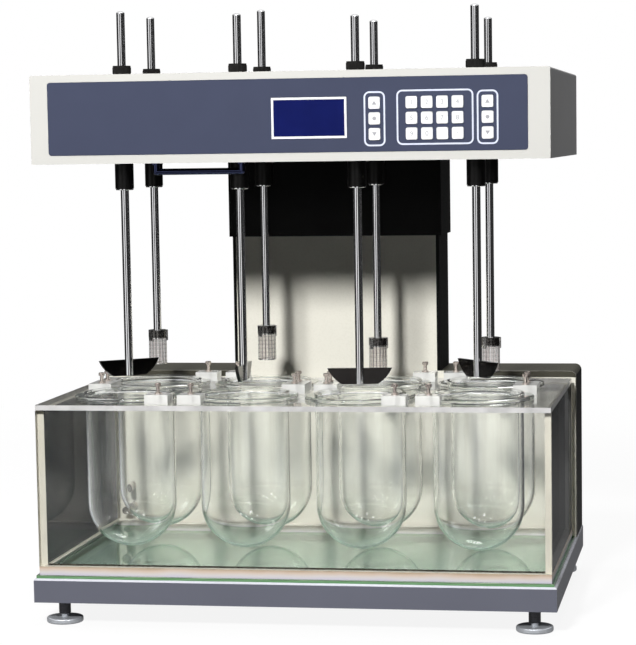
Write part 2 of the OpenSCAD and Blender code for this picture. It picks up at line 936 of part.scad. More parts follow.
// Grey cover of the head: top, sides and back, with a hole for each spindle
module head_cover() {
    color([0.38, 0.38, 0.38])
        difference() {
            along_y(bezel_back, head_back)
                translate([0, head_z])
                    round_top(head_w, head_h, head_r);
            along_y(bezel_back - over, head_back - skin)
                translate([0, head_z - over])
                    round_top(head_w - 2 * skin, head_h + over - skin, head_r - skin);
            at_stations()
                post([0, 0], sleeve_d + 2 * pass_gap, head_top - skin - over, head_top + over);
        }
}

// Windows for the keys and the display, through everything between two depths
module panel_windows(y0, y1) {
    for (k = [0:keys - 1])
        translate([key_xz(k)[0], 0, key_xz(k)[1]])
            along_y(y0, y1)
                round_rect(key_w + 2 * window_gap, key_h + 2 * window_gap, key_r);
    translate([display_x, 0, head_z + display_z])
        along_y(y0, y1)
            square([display_w + 2 * window_gap, display_h + 2 * window_gap], center = true);
}

// Cream front of the head, with a shallow pocket for the panel's front sheet
module front_bezel() {
    color([0.94, 0.94, 0.92]) {
        difference() {
            along_y(head_front, bezel_back)
                translate([0, head_z])
                    round_top(head_w, head_h, head_r);
            translate([overlay_x, 0, head_z + overlay_z])
                along_y(head_front - over, overlay_back)
                    round_rect(overlay_w + 2 * overlay_gap, overlay_h + 2 * overlay_gap, overlay_r);
            panel_windows(head_front - over, bezel_back + over);
        }
        for (x = [board_left + post_d, board_right - post_d], z = [board_low + post_d, board_high - post_d])
            translate([x, board_front, head_z + z])
                rotate([90, 0, 0])
                    cylinder(d = post_d, h = board_gap);
    }
}

// Blue-grey front sheet of the panel
module panel_overlay() {
    color([0.33, 0.35, 0.43])
        difference() {
            translate([overlay_x, 0, head_z + overlay_z])
                along_y(overlay_front, overlay_back)
                    round_rect(overlay_w, overlay_h, overlay_r);
            panel_windows(overlay_front - over, overlay_back + over);
        }
}

// Display window and the module behind it
module display() {
    color([0.1, 0.12, 0.4])
        translate([display_x, 0, head_z + display_z]) {
            along_y(display_front, bezel_back)
                square([display_w, display_h], center = true);
            along_y(bezel_back - eps, board_front)
                square([display_w + 2 * display_rim, display_h + 2 * display_rim], center = true);
        }
}

// Circuit board behind the panel, with a switch under each key
module control_board() {
    color([0.1, 0.4, 0.2]) {
        span(
            [board_left, board_front, head_z + board_low],
            [board_right, board_front + board_t, head_z + board_high]
        );
        for (k = [0:keys - 1])
            translate([key_xz(k)[0], 0, key_xz(k)[1]])
                along_y(switch_front, board_front + eps)
                    square(switch_w, center = true);
    }
}

// Key cap with a rim behind the bezel that keeps it in
module key(k) {
    color([0.95, 0.95, 0.95])
        translate([key_xz(k)[0], 0, key_xz(k)[1]]) {
            along_y(key_front, key_rim_front + eps)
                round_rect(key_w, key_h, key_r);
            along_y(key_rim_front, key_rim_back)
                square([key_w + 2 * key_rim, key_h + 2 * key_rim], center = true);
        }
}

// Floor of the head, open for the spindles and for the column
module head_floor_plate() {
    color([0.25, 0.25, 0.25])
        difference() {
            span(
                [-head_w / 2 + skin, bezel_back, head_z],
                [head_w / 2 - skin, head_back - skin, floor_top]
            );
            at_stations()
                post([0, 0], chuck_d + 2 * pass_gap, head_z - over, floor_top + over);
            span(
                [-column_w / 2 - shroud_gap, housing_front - shroud_gap, head_z - over],
                [column_w / 2 + shroud_gap, column_back + shroud_gap, floor_top + over]
            );
        }
}

// Flanged bearing housings that carry the spindles
module spindle_bearings() {
    color([0.6, 0.6, 0.62])
        at_stations()
            difference() {
                union() {
                    post([0, 0], bearing_flange_d, floor_top, floor_top + bearing_flange_h);
                    post([0, 0], bearing_d, floor_top, bearing_top);
                }
                post([0, 0], chuck_d + 2 * run_gap, floor_top - over, bearing_top + over);
            }
}

// Flat motor that drives the belt
module drive_motor() {
    color([0.25, 0.25, 0.27])
        difference() {
            union() {
                span(
                    [motor_x - motor_w / 2, motor_y - motor_w / 2, floor_top],
                    [motor_x + motor_w / 2, motor_y + motor_w / 2, motor_top]
                );
                post([motor_x, motor_y], motor_boss_d, motor_top - eps, motor_top + motor_boss_h);
            }
            post(
                [motor_x, motor_y],
                motor_axle_d + 2 * run_gap,
                motor_top + motor_boss_h - motor_axle_len - motor_axle_gap,
                motor_top + motor_boss_h + over
            );
        }
}

// Flanged pulley rim at a place in plan
module pulley_rim(xy, d) {
    post(xy, d + 2 * pulley_rim, pulley_z, pulley_z + pulley_lip);
    post(xy, d, pulley_z, pulley_top);
    post(xy, d + 2 * pulley_rim, pulley_top - pulley_lip, pulley_top);
}

// Motor's axle with its pulley
module motor_pulley() {
    color([0.75, 0.75, 0.76]) {
        pulley_rim([motor_x, motor_y], motor_pulley_d);
        post([motor_x, motor_y], motor_axle_d, motor_top + motor_boss_h - motor_axle_len, pulley_z + eps);
    }
}

// Outline of the belt's loop at a distance from the corner spindles' axes
module belt_loop(r) {
    translate([0, mid_y])
        round_rect((columns - 1) * vessel_pitch + 2 * r, row_pitch + 2 * r, r);
}

// Belt that runs round all the pulleys
module drive_belt() {
    color([0.1, 0.1, 0.1])
        translate([0, 0, belt_z])
            linear_extrude(belt_w)
                difference() {
                    belt_loop(belt_in_r + belt_t);
                    belt_loop(belt_in_r);
                }
}

// Carriage on the guide rods, with the mast that carries the head
module lift_carriage() {
    mast_y = lift_y + carriage_d / 2;
    color([0.7, 0.7, 0.72])
        difference() {
            union() {
                span(
                    [-carriage_w / 2, lift_y - carriage_d / 2, carriage_z],
                    [carriage_w / 2, mast_y + eps, carriage_top]
                );
                span([-mast_w / 2, mast_y, carriage_z], [mast_w / 2, mast_y + mast_t, mast_top]);
                span(
                    [-mast_w / 2, lift_y - crosshead_d / 2, mast_top - mast_flange_h],
                    [mast_w / 2, mast_y + mast_t, mast_top]
                );
            }
            for (side = [-1, 1])
                post(
                    [side * rod_spacing / 2, lift_y],
                    rod_d + 2 * run_gap,
                    carriage_z - over,
                    carriage_top + over
                );
            post([0, lift_y], lift_screw_d + 2 * run_gap, carriage_z - over, carriage_top + over);
        }
}

// Black shroud under the head, which slides down over the column
module column_shroud() {
    inner_x = column_w / 2 + shroud_gap;
    color([0.12, 0.12, 0.12])
        difference() {
            span(
                [-inner_x - skin, housing_front - shroud_gap - skin, head_z - shroud_h],
                [inner_x + skin, column_back + shroud_gap + skin, head_z]
            );
            span(
                [-inner_x, housing_front - shroud_gap, head_z - shroud_h - over],
                [inner_x, column_back + shroud_gap, head_z + over]
            );
        }
}

// Round rail on two posts under the head
module grab_rail() {
    color([0.5, 0.52, 0.6])
        translate([rail_x, rail_y, 0]) {
            for (side = [-1, 1]) {
                x = side * rail_len / 2;
                translate([x, 0, rail_z])
                    sphere(d = rail_d);
                post([x, 0], rail_d, rail_z, head_z - rail_flange_h + eps);
                post([x, 0], rail_flange_d, head_z - rail_flange_h, head_z);
            }
            translate([-rail_len / 2, 0, rail_z])
                rotate([0, 90, 0])
                    cylinder(d = rail_d, h = rail_len);
        }
}

// Turning parts in the head: hollow spindle, pulley and collar
module spindle() {
    bore = shaft_d + 2 * shaft_gap;
    difference() {
        union() {
            post([0, 0], chuck_d, head_z - chuck_len, journal_top);
            post([0, 0], sleeve_d, journal_top - eps, collar_z - seam);
        }
        post([0, 0], bore, head_z - chuck_len - over, collar_z + over);
    }
    difference() {
        pulley_rim([0, 0], pulley_d);
        post([0, 0], sleeve_d + 2 * run_gap, pulley_z - over, pulley_top + over);
    }
    difference() {
        post([0, 0], collar_d, collar_z, collar_top);
        post([0, 0], bore, collar_z - over, collar_top + over);
    }
}

// Paddle: a blade cut from a disc between two chords, fixed across the end of its shaft
module paddle(turn, tip) {
    low = sqrt(blade_r * blade_r - blade_low_w * blade_low_w / 4);
    post([0, 0], shaft_d, tip, tip + tool_len);
    rotate([0, 0, turn])
        translate([0, 0, tip])
            along_y(-blade_t / 2, blade_t / 2)
                intersection() {
                    translate([0, low])
                        circle(blade_r);
                    translate([-blade_r, 0])
                        square([2 * blade_r, blade_h]);
                }
}

// Basket: a cap with three clips on the end of its shaft, and the round basket that it holds
module basket(tip) {
    r = basket_d / 2;
    cap_z = tip + basket_h;
    post([0, 0], shaft_d, cap_z + cap_h - eps, tip + tool_len);
    post([0, 0], basket_d + 2 * cap_rim, cap_z, cap_z + cap_h);
    for (i = [0:clip_count - 1])
        rotate([0, 0, i * 360 / clip_count])
            translate([0, -clip_w / 2, cap_z + cap_h - clip_len])
                difference() {
                    translate([r - cap_rim, 0, 0])
                        cube([cap_rim + clip_gap + clip_t, clip_w, clip_len]);
                    translate([r - over, -over, -over])
                        cube([over + clip_gap, clip_w + 2 * over, clip_len - cap_h + over]);
                }
    translate([0, 0, tip])
        rotate_extrude()
            polygon([
                [0, 0],
                [r, 0],
                [r, basket_h - seam],
                [r - 2 * basket_wall, basket_h - seam],
                [r - 2 * basket_wall, basket_h - basket_rim_h],
                [r - basket_wall, basket_h - basket_rim_h],
                [r - basket_wall, basket_wall],
                [0, basket_wall]
            ]);
}

// Front station: spindle with a paddle
module paddle_station(c) {
    color([0.55, 0.55, 0.57])
        translate([col_x(c), row_y(0), 0]) {
            spindle();
            paddle(paddle_turn[c], tool_z + paddle_lift[c]);
        }
}

// Rear station: spindle with a basket
module basket_station(c) {
    color([0.6, 0.58, 0.57])
        translate([col_x(c), row_y(1), 0]) {
            spindle();
            basket(tool_z + basket_lift[c]);
        }
}

base_chassis();
glass_sheet();
water_tank();
vessel_plate();
vessels();
clamp_blocks();
clamp_screws();
rear_fascia();
cabinet_cover();
column_cover();
guide_rods();
lift_screw();
lift_motor();
bath_circulator();
power_inlet();
power_switch();
head_cover();
front_bezel();
head_floor_plate();
panel_overlay();
display();
control_board();
spindle_bearings();
drive_motor();
motor_pulley();
drive_belt();
lift_carriage();
column_shroud();
grab_rail();
for (i = [0:3])
    foot(i);
for (c = [0:columns - 1])
    paddle_station(c);
for (c = [0:columns - 1])
    basket_station(c);
for (k = [0:keys - 1])
    key(k);
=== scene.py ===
"""Looks of a bench dissolution tester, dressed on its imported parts. Lengths are in metres."""

import json
import math

import bmesh
import bpy
from mathutils import Matrix, Vector


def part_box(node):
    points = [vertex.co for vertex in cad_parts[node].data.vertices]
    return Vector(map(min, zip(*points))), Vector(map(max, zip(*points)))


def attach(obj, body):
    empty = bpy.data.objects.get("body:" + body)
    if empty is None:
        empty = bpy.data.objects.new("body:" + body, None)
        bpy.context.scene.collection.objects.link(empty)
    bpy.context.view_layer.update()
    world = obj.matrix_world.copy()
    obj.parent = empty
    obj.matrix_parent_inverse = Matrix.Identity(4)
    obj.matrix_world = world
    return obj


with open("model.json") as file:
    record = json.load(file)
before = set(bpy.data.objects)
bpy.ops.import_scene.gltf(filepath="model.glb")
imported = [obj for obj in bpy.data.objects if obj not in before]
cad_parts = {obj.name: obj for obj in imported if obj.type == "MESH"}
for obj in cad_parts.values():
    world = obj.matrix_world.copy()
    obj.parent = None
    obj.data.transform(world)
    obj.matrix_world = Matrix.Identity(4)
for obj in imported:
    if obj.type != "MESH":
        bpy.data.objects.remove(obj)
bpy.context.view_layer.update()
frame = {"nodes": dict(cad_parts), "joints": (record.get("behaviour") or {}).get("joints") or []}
nodes = frame["nodes"]
scene = bpy.context.scene

MM = 0.001

# Photograph's frame and the camera that took it
IMAGE_W, IMAGE_H = 636, 645
FOCAL_PX = 2315.46
CENTRE_PX = (361.935, 380.16)
CAMERA_AT = Vector((0.51303, -2.78524, 0.5662))
CAMERA_YAW, CAMERA_PITCH, CAMERA_ROLL = 9.418, -6.029, -0.827
SENSOR_W = 36

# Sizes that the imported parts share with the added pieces
SHAFT_R = 4.875 * MM
CHUCK_LEN = 30 * MM
COLLAR_R = 10.5 * MM
COLLAR_H = 11 * MM
COLLAR_GAP = 0.6 * MM
BLADE_H = 19 * MM
BASKET_R = 10.8 * MM
BASKET_H = 33 * MM
CAP_H = 9.4 * MM
TANK_WALL = 8 * MM
TANK_FLOOR = 10 * MM
STATIONS_PER_ROW = 4
KEY_COUNT = 18
FOOT_NECK_TOP = 9.9 * MM

# Tolerances for telling faces apart and for setting pieces a little apart
HAIR = 0.02 * MM
SLACK = 0.1 * MM

head_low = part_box("head_floor_plate")[0].z
head_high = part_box("head_cover")[1].z
panel_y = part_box("panel_overlay")[0].y
tank_low, tank_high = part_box("water_tank")
axes = {j["child"]: Vector(j["pos_m"]) for j in frame["joints"] if j["name"].endswith("_spin")}


# Colours and shader nodes

# Range that most values of a noise lie in; clear sheets use it for their slant too
MIDDLE = (0.3, 0.7)
GRAIN_DEPTH = 0.2 * MM
WHITE = (1, 1, 1, 1)


def srgb(red, green, blue):
    """Linear colour of an 8-bit display colour."""

    def linear(v):
        v /= 255
        return v / 12.92 if v <= 0.04045 else ((v + 0.055) / 1.055) ** 2.4

    return (linear(red), linear(green), linear(blue), 1.0)


def scaled(colour, share):
    """The same colour, lighter or darker."""
    return (*(min(1.0, v * share) for v in colour[:3]), 1.0)


def plug(tree, socket, value):
    """Links a socket to another node's output, or sets it to a constant."""
    if isinstance(value, bpy.types.NodeSocket):
        tree.links.new(value, socket)
    else:
        socket.default_value = value


def plug_all(tree, target, values):
    """Links or sets several inputs of a node."""
    for key, value in values.items():
        plug(tree, target.inputs[key], value)


def node(tree, kind, inputs=None, **settings):
    """New node with its settings and inputs."""
    made = tree.nodes.new("ShaderNode" + kind)
    for key, value in settings.items():
        setattr(made, key, value)
    plug_all(tree, made, inputs or {})
    return made


def maths(tree, operation, *values):
    """Output of a Math node."""
    return node(tree, "Math", dict(enumerate(values)), operation=operation).outputs[0]


def spread(tree, value, low, high, out_low, out_high):
    """Value mapped smoothly from one range to another."""
    inputs = dict(enumerate((value, low, high, out_low, out_high)))
    return node(tree, "MapRange", inputs, interpolation_type="SMOOTHSTEP").outputs[0]


def split(tree, vector):
    """X, Y and Z outputs of a vector."""
    return node(tree, "SeparateXYZ", {0: vector}).outputs


def material(name):
    """New material with its node tree and its Principled shader."""
    made = bpy.data.materials.new(name)
    made.use_nodes = True
    return made, made.node_tree, made.node_tree.nodes["Principled BSDF"]


def part_place(tree):
    """Place on the surface in the part's own coordinates."""
    return node(tree, "TexCoord").outputs["Object"]


def noise(tree, scale, stretch=(1, 1, 1), detail=3.0):
    """Noise in the part's own coordinates, scale in features to the metre."""
    placed = node(tree, "Mapping", {"Vector": part_place(tree), "Scale": stretch}).outputs[0]
    return node(tree, "TexNoise", {"Vector": placed, "Scale": scale, "Detail": detail}).outputs[0]


def colour_ramp(tree, value, stops):
    """Colour chosen by a value, from stops of place and colour."""
    ramp = node(tree, "ValToRGB", {0: value})
    elements = ramp.color_ramp.elements
    while len(elements) < len(stops):
        elements.new(1.0)
    for element, (place, colour) in zip(elements, stops):
        element.position = place
        element.color = colour
    return ramp.outputs[0]


def two_tone(tree, value, dark, light):
    """Colour between two, chosen by a value in the middle range."""
    return colour_ramp(tree, value, tuple(zip(MIDDLE, (dark, light))))


def finish(
    name, colour, vary=0.06, patch=9, rough=(0.3, 0.4), grain=900, bump=0.05, stretch=(1, 1, 1), **fixed
):
    """Surface with a little colour variation, uneven gloss and a fine grain."""
    made, tree, shader = material(name)
    patches = noise(tree, patch)
    fine = noise(tree, grain, stretch)
    tones = two_tone(tree, patches, scaled(colour, 1 - vary), scaled(colour, 1 + vary))
    plug(tree, shader.inputs["Base Color"], tones)
    plug(tree, shader.inputs["Roughness"], spread(tree, fine, *MIDDLE, *rough))
    if bump:
        height = node(tree, "Bump", {"Strength": bump, "Distance": GRAIN_DEPTH, "Height": fine})
        plug(tree, shader.inputs["Normal"], height.outputs[0])
    for key, value in fixed.items():
        plug(tree, shader.inputs[key.replace("_", " ").title().replace("Ior", "IOR")], value)
    return made


# Slants between which glass goes from letting lamps through to holding them back
RIM = (0.35, 0.95)


def slant(tree):
    """0 on a surface seen face on, 1 edge on."""
    return node(tree, "LayerWeight", {"Blend": 0.5}).outputs["Facing"]


def lets_lamps_through(made, dark, light):
    """Puts a Transparent shader in front for rays from lamps: they pass the glass, less so at its rims."""
    tree = made.node_tree
    surface = tree.nodes["Material Output"].inputs["Surface"]
    before = surface.links[0].from_socket
    shade = spread(tree, slant(tree), *RIM, light, dark)
    clear = node(tree, "BsdfTransparent", {"Color": shade}).outputs[0]
    lamp = node(tree, "LightPath").outputs["Is Shadow Ray"]
    plug(tree, surface, node(tree, "MixShader", {0: lamp, 1: before, 2: clear}).outputs[0])
    return made


WAVES_PER_M = 26
WAVE_DEPTH = 0.4 * MM
WAVE_STRENGTH = 0.04


def glass(name, tint, ior, dark, light):
    """Clear blown glass that bends what is behind it, with faint waves."""
    made, tree, shader = material(name)
    fixed = {"Base Color": tint, "Roughness": 0.0, "IOR": ior, "Transmission Weight": 1.0}
    plug_all(tree, shader, fixed)
    height = noise(tree, WAVES_PER_M, detail=1.0)
    waves = {"Strength": WAVE_STRENGTH, "Distance": WAVE_DEPTH, "Height": height}
    plug(tree, shader.inputs["Normal"], node(tree, "Bump", waves).outputs[0])
    return lets_lamps_through(made, dark, light)


FACE_ON_GLARE = 0.035
GLARE_POWER = 5.0
SHEET_ROUGHNESS = 0.02
SHEET_LIGHT = 0.99


def clear_sheet(name, tint, gloss=0.9, slanted=None, lamp_dark=0.6):
    """Flat polished sheet, clear face on: at a slant it mirrors more and may have another tint."""
    made, tree, shader = material(name)
    tree.nodes.remove(shader)
    facing = slant(tree)
    glance = maths(tree, "MULTIPLY_ADD", maths(tree, "POWER", facing, GLARE_POWER), gloss, FACE_ON_GLARE)
    through = two_tone(tree, facing, tint, slanted or tint)
    clear = node(tree, "BsdfTransparent", {"Color": through}).outputs[0]
    mirror = {"Color": WHITE, "Roughness": SHEET_ROUGHNESS}
    shine = node(tree, "BsdfGlossy", mirror).outputs[0]
    mixed = node(tree, "MixShader", {0: glance, 1: clear, 2: shine}).outputs[0]
    plug(tree, tree.nodes["Material Output"].inputs["Surface"], mixed)
    return lets_lamps_through(made, lamp_dark, SHEET_LIGHT)


BAND_WAVES_PER_M = 22
BAND_WAVE = 0.5


def painted_reflection_bands(name, low, high, bands, rough):
    """Polished edge of a sheet, with level bands of colour between two heights: painted reflections inside
    the edge.
    """
    made, tree, shader = material(name)
    height = split(tree, part_place(tree))["Z"]
    share = node(tree, "MapRange", {0: height, 1: low, 2: high}).outputs[0]
    waves = noise(tree, BAND_WAVES_PER_M, detail=2.0)
    wavy = maths(tree, "MULTIPLY_ADD", waves, BAND_WAVE, -BAND_WAVE / 2)
    tones = colour_ramp(tree, maths(tree, "ADD", share, wavy), bands)
    plug_all(tree, shader, {"Base Color": tones, "Roughness": rough})
    return made


MESH_WIRES_ROUND = 90
MESH_WIRES_PER_M = 1500
MESH_WIRE_EDGE = 0.445


def woven(name, axis):
    """Fine woven wire round an upright axis, open between the wires."""
    made, tree, shader = material(name)
    place = split(tree, part_place(tree))
    along_y = maths(tree, "SUBTRACT", place["Y"], axis.y)
    along_x = maths(tree, "SUBTRACT", place["X"], axis.x)
    turn = maths(tree, "ARCTAN2", along_y, along_x)
    upright = maths(tree, "PINGPONG", maths(tree, "MULTIPLY", turn, MESH_WIRES_ROUND / math.tau), 0.5)
    level = maths(tree, "PINGPONG", maths(tree, "MULTIPLY", place["Z"], MESH_WIRES_PER_M), 0.5)
    wire = maths(tree, "GREATER_THAN", maths(tree, "MAXIMUM", upright, level), MESH_WIRE_EDGE)
    fixed = {"Base Color": srgb(212, 198, 193), "Metallic": 0.4, "Roughness": 0.5}
    plug_all(tree, shader, fixed)
    plug(tree, shader.inputs["Alpha"], wire)
    return made


# Painted sheet metal

cream_front = finish(
    "cream_front", srgb(210, 209, 204), vary=0.015, rough=(0.38, 0.48), grain=700, bump=0.06,
)
cream_enamel = finish(
    "cream_enamel", srgb(244, 241, 228), vary=0.025, rough=(0.24, 0.34), grain=420, bump=0.035,
    coat_weight=0.08, coat_roughness=0.12, specular_ior_level=0.3,
)
grey_enamel = finish(
    "grey_enamel", srgb(170, 170, 171), vary=0.03, rough=(0.5, 0.62), grain=650, bump=0.09,
    specular_ior_level=0.25,
)
# Olive paint for the cabinet cover's top and its lip; on the cover it makes the top lighter than the black
# sides, as painted light
olive_enamel = finish(
    "olive_enamel", srgb(70, 68, 58), vary=0.06, rough=(0.3, 0.42), grain=600, bump=0.07,
    specular_ior_level=0.3,
)
black_enamel = finish(
    "black_enamel", srgb(15, 15, 15), vary=0.1, rough=(0.5, 0.62), grain=650, bump=0.08,
    specular_ior_level=0.1,
)
base_enamel = finish(
    "base_enamel", srgb(103, 105, 117), vary=0.04, rough=(0.3, 0.45), grain=800, bump=0.1,
)
# Lighter paint for the base's upward faces, its top and the tops of its rounded edges: a painted highlight
base_top_painted_highlight = finish(
    "base_top_painted_highlight", srgb(212, 213, 222), vary=0.06, rough=(0.22, 0.34), grain=800, bump=0.08,
)
louvre_black = finish(
    "louvre_black", srgb(11, 11, 11), vary=0.1, rough=(0.5, 0.6), grain=650, bump=0.06,
)


# Control panel

panel_film = finish(
    "panel_film", srgb(66, 71, 91), vary=0.025, patch=30, rough=(0.5, 0.6), grain=2600, bump=0.03,
    specular_ior_level=0.2,
)
panel_print = finish(
    "panel_print", srgb(219, 224, 242), vary=0.03, rough=(0.4, 0.5), grain=2500, bump=0.02,
)
lcd_border = finish(
    "lcd_border", srgb(248, 248, 250), vary=0.02, rough=(0.35, 0.45), grain=2500, bump=0.02,
)
lcd_glass = finish(
    "lcd_glass", srgb(18, 26, 86), vary=0.12, patch=24, rough=(0.1, 0.16), grain=3000, bump=0.0,
    coat_weight=0.4, coat_roughness=0.04,
)
key_cap = finish(
    "key_cap", srgb(246, 246, 246), vary=0.015, rough=(0.42, 0.55), grain=2200, bump=0.04,
)
key_ink = finish(
    "key_ink", srgb(168, 168, 172), vary=0.05, rough=(0.5, 0.6), grain=2500, bump=0.02,
)


# Bare and plated metal

shaft_steel = finish(
    "shaft_steel", srgb(234, 234, 236), vary=0.04, patch=30, rough=(0.07, 0.1), grain=40, bump=0.0,
    stretch=(1, 1, 0.1), metallic=1.0,
)
# Near-black base colour for the paddle blades' polished steel: a painted reflection of a dark room
blade_painted_dark_reflection = finish(
    "blade_painted_dark_reflection", srgb(46, 44, 43), vary=0.12, patch=45, rough=(0.1, 0.2), grain=420, bump=0.03,
    stretch=(1, 1, 8), metallic=1.0,
)
cap_steel = finish(
    "cap_steel", srgb(92, 90, 88), vary=0.1, patch=60, rough=(0.16, 0.3), grain=500, bump=0.04,
    metallic=1.0,
)
clip_steel = finish(
    "clip_steel", srgb(224, 222, 220), vary=0.06, patch=80, rough=(0.14, 0.26), grain=900, bump=0.04,
    metallic=1.0,
)
stainless = finish(
    "stainless", srgb(222, 210, 202), vary=0.1, patch=70, rough=(0.16, 0.3), grain=600, bump=0.06,
    stretch=(1, 1, 6), metallic=1.0,
)
black_anodised = finish(
    "black_anodised", srgb(21, 20, 19), vary=0.2, patch=60, rough=(0.3, 0.48), grain=260, bump=0.08,
    stretch=(6, 6, 0.4), specular_ior_level=0.25,
)
satin_zinc = finish(
    "satin_zinc", srgb(224, 228, 234), vary=0.08, patch=90, rough=(0.3, 0.44), grain=420, bump=0.06,
    metallic=0.65,
)
# Dark blue base colour for the chrome grab rail: a painted reflection of dark bluish surroundings
chrome_painted_blue_reflection = finish(
    "chrome_painted_blue_reflection", srgb(66, 72, 104), vary=0.08, rough=(0.05, 0.1), grain=300, bump=0.01, metallic=1.0,
)
# Dark steel of the feet's threaded studs, partly painted shade under the base
stud_dark_steel_and_painted_shade = finish(
    "stud_dark_steel_and_painted_shade", srgb(78, 78, 82), vary=0.15, patch=60, rough=(0.25, 0.4), grain=260, bump=0.25,
    stretch=(0.1, 0.1, 3), metallic=1.0,
)
machined = finish(
    "machined", srgb(200, 201, 204), vary=0.05, patch=40, rough=(0.2, 0.34), grain=500, bump=0.04,
    stretch=(1, 1, 9), metallic=1.0,
)


# Plastic, rubber and circuit board

motor_black = finish(
    "motor_black", srgb(38, 38, 41), vary=0.1, rough=(0.4, 0.55), grain=900, bump=0.08,
)
belt_rubber = finish(
    "belt_rubber", srgb(26, 26, 26), vary=0.12, rough=(0.6, 0.75), grain=1400, bump=0.15,
)
board_green = finish(
    "board_green", srgb(32, 96, 58), vary=0.15, patch=120, rough=(0.35, 0.5), grain=1500, bump=0.06,
)
black_plastic = finish(
    "black_plastic", srgb(22, 22, 23), vary=0.1, rough=(0.4, 0.55), grain=1600, bump=0.1,
)
mark_white = finish(
    "mark_white", srgb(226, 226, 222), vary=0.03, rough=(0.45, 0.55), grain=2000, bump=0.03,
)


# Bath: clear sheets, their sawn edges, glue and vessels

# Light and dark bands in the sawn edges of the bath's floor and of the green sheet are painted
# reflections; the green is the sheet's own
FLOOR_EDGE_REFLECTIONS = (
    (0.0, srgb(212, 206, 220)),
    (0.35, srgb(220, 213, 211)),
    (0.7, srgb(217, 198, 181)),
    (1.0, srgb(188, 165, 141)),
)
GREEN_EDGE_REFLECTIONS = (
    (0.0, srgb(150, 190, 152)),
    (0.22, srgb(62, 112, 66)),
    (0.5, srgb(140, 186, 138)),
    (0.72, srgb(44, 88, 48)),
    (1.0, srgb(176, 204, 168)),
)
sheet_low, sheet_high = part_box("glass_sheet")
floor_edge = painted_reflection_bands("floor_edge", tank_low.z, tank_low.z + TANK_FLOOR, FLOOR_EDGE_REFLECTIONS, rough=0.3)
green_edge = painted_reflection_bands("green_edge", sheet_low.z, sheet_high.z, GREEN_EDGE_REFLECTIONS, rough=0.12)
sheet_edge = finish(
    "sheet_edge", srgb(218, 214, 200), vary=0.06, patch=40, rough=(0.3, 0.5), grain=1200, bump=0.1,
)
plate_edge = finish(
    "plate_edge", srgb(205, 204, 203), vary=0.16, patch=55, rough=(0.08, 0.25), grain=900, bump=0.08,
)
seal_glue = finish(
    "seal_glue", srgb(70, 66, 52), vary=0.3, patch=60, rough=(0.2, 0.35), grain=400, bump=0.1,
    transmission_weight=0.3,
)
acrylic = clear_sheet("acrylic", (0.988, 0.99, 0.984, 1))
# Side panels of the bath: faintly smoked face on, nearly black at a slant while lamps still pass; the
# near-black slant tint is painted shade, a dark room seen through and mirrored in them
side_acrylic_painted_shade = clear_sheet(
    "side_acrylic_painted_shade", (0.86, 0.87, 0.88, 1), gloss=0.22, slanted=(0.1, 0.105, 0.12, 1), lamp_dark=0.9,
)
floor_acrylic = clear_sheet("floor_acrylic", (0.93, 0.98, 0.93, 1))
green_glass = clear_sheet("green_glass", (0.78, 0.93, 0.81, 1), gloss=0.3)
vessel_glass = glass("vessel_glass", (0.995, 1.0, 0.995, 1), ior=1.4, dark=0.35, light=0.995)
# Clamp blocks are clear acrylic; their milky white diffuse colour is a painted highlight standing in for
# their bright reflections
block_acrylic_painted_highlight = finish(
    "block_acrylic_painted_highlight", srgb(252, 252, 249), vary=0.02, patch=60, rough=(0.04, 0.1), grain=120, bump=0.03,
    transmission_weight=0.4, ior=1.49,
)
lets_lamps_through(block_acrylic_painted_highlight, dark=0.45, light=0.9)


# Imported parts

# Part of a normal along an axis at which a face counts as looking that way
ALONG = 0.5
# Upward tilt above which a face of the base gets the painted highlight
BASE_HIGHLIGHT_TILT = 0.2
# Upward tilt above which a face of the cabinet cover gets olive paint, lighter than its black sides:
# painted light on the top
COVER_LIT_TOP_TILT = 0.3

# Faces of a station, told apart by their distance from its axis or their height
SHAFT_BAND = (0.9 * SHAFT_R, 1.02 * SHAFT_R)
SHAFT_OUTWARD = 0.9
SPINDLE_BORE = 1.1 * SHAFT_R
CAP_BORE = 1.05 * SHAFT_R
CHUCK_SLACK = 0.5 * MM
CLIP_DROP = 5 * MM
CLIP_R = BASKET_R + 0.55 * MM


def dress(name, base, *rules):
    """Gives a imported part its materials: for each face the first rule's that it passes, or base."""
    mesh = nodes[name].data
    mesh.materials.clear()
    for made in (base, *(rule[0] for rule in rules)):
        mesh.materials.append(made)
    for face in mesh.polygons:
        passed = (i for i, rule in enumerate(rules, 1) if rule[1](face.center, face.normal))
        face.material_index = next(passed, 0)


def off_axis(point, axis):
    """Distance of a point from an upright axis."""
    return math.hypot(point.x - axis.x, point.y - axis.y)


def is_shaft(point, normal, axis):
    """True for a face of the round shaft on an axis."""
    out = Vector((point.x - axis.x, point.y - axis.y, 0))
    near = SHAFT_BAND[0] < out.length < SHAFT_BAND[1]
    return near and normal.dot(out.normalized()) > SHAFT_OUTWARD


def dress_station(name, axis, basket):
    """Black spindle, steel shaft, and the tool at its end."""
    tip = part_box(name)[0].z
    cap_z = tip + BASKET_H
    cap_top = cap_z + CAP_H
    chuck_z = head_low - CHUCK_LEN - CHUCK_SLACK

    def spindle(point, normal):
        return point.z > chuck_z and off_axis(point, axis) > SPINDLE_BORE

    def blade(point, normal):
        return point.z < tip + BLADE_H + SLACK and not is_shaft(point, normal, axis)

    def clip(point, normal):
        return cap_z - CLIP_DROP < point.z < cap_top and off_axis(point, axis) > CLIP_R

    def cup(point, normal):
        return point.z < cap_z - HAIR

    def cap(point, normal):
        return point.z < cap_top + SLACK and off_axis(point, axis) > CAP_BORE

    if basket:
        rules = (clip_steel, clip), (woven(f"{name}_wire", axis), cup), (cap_steel, cap)
    else:
        rules = ((blade_painted_dark_reflection, blade),)
    dress(name, shaft_steel, (black_anodised, spindle), *rules)


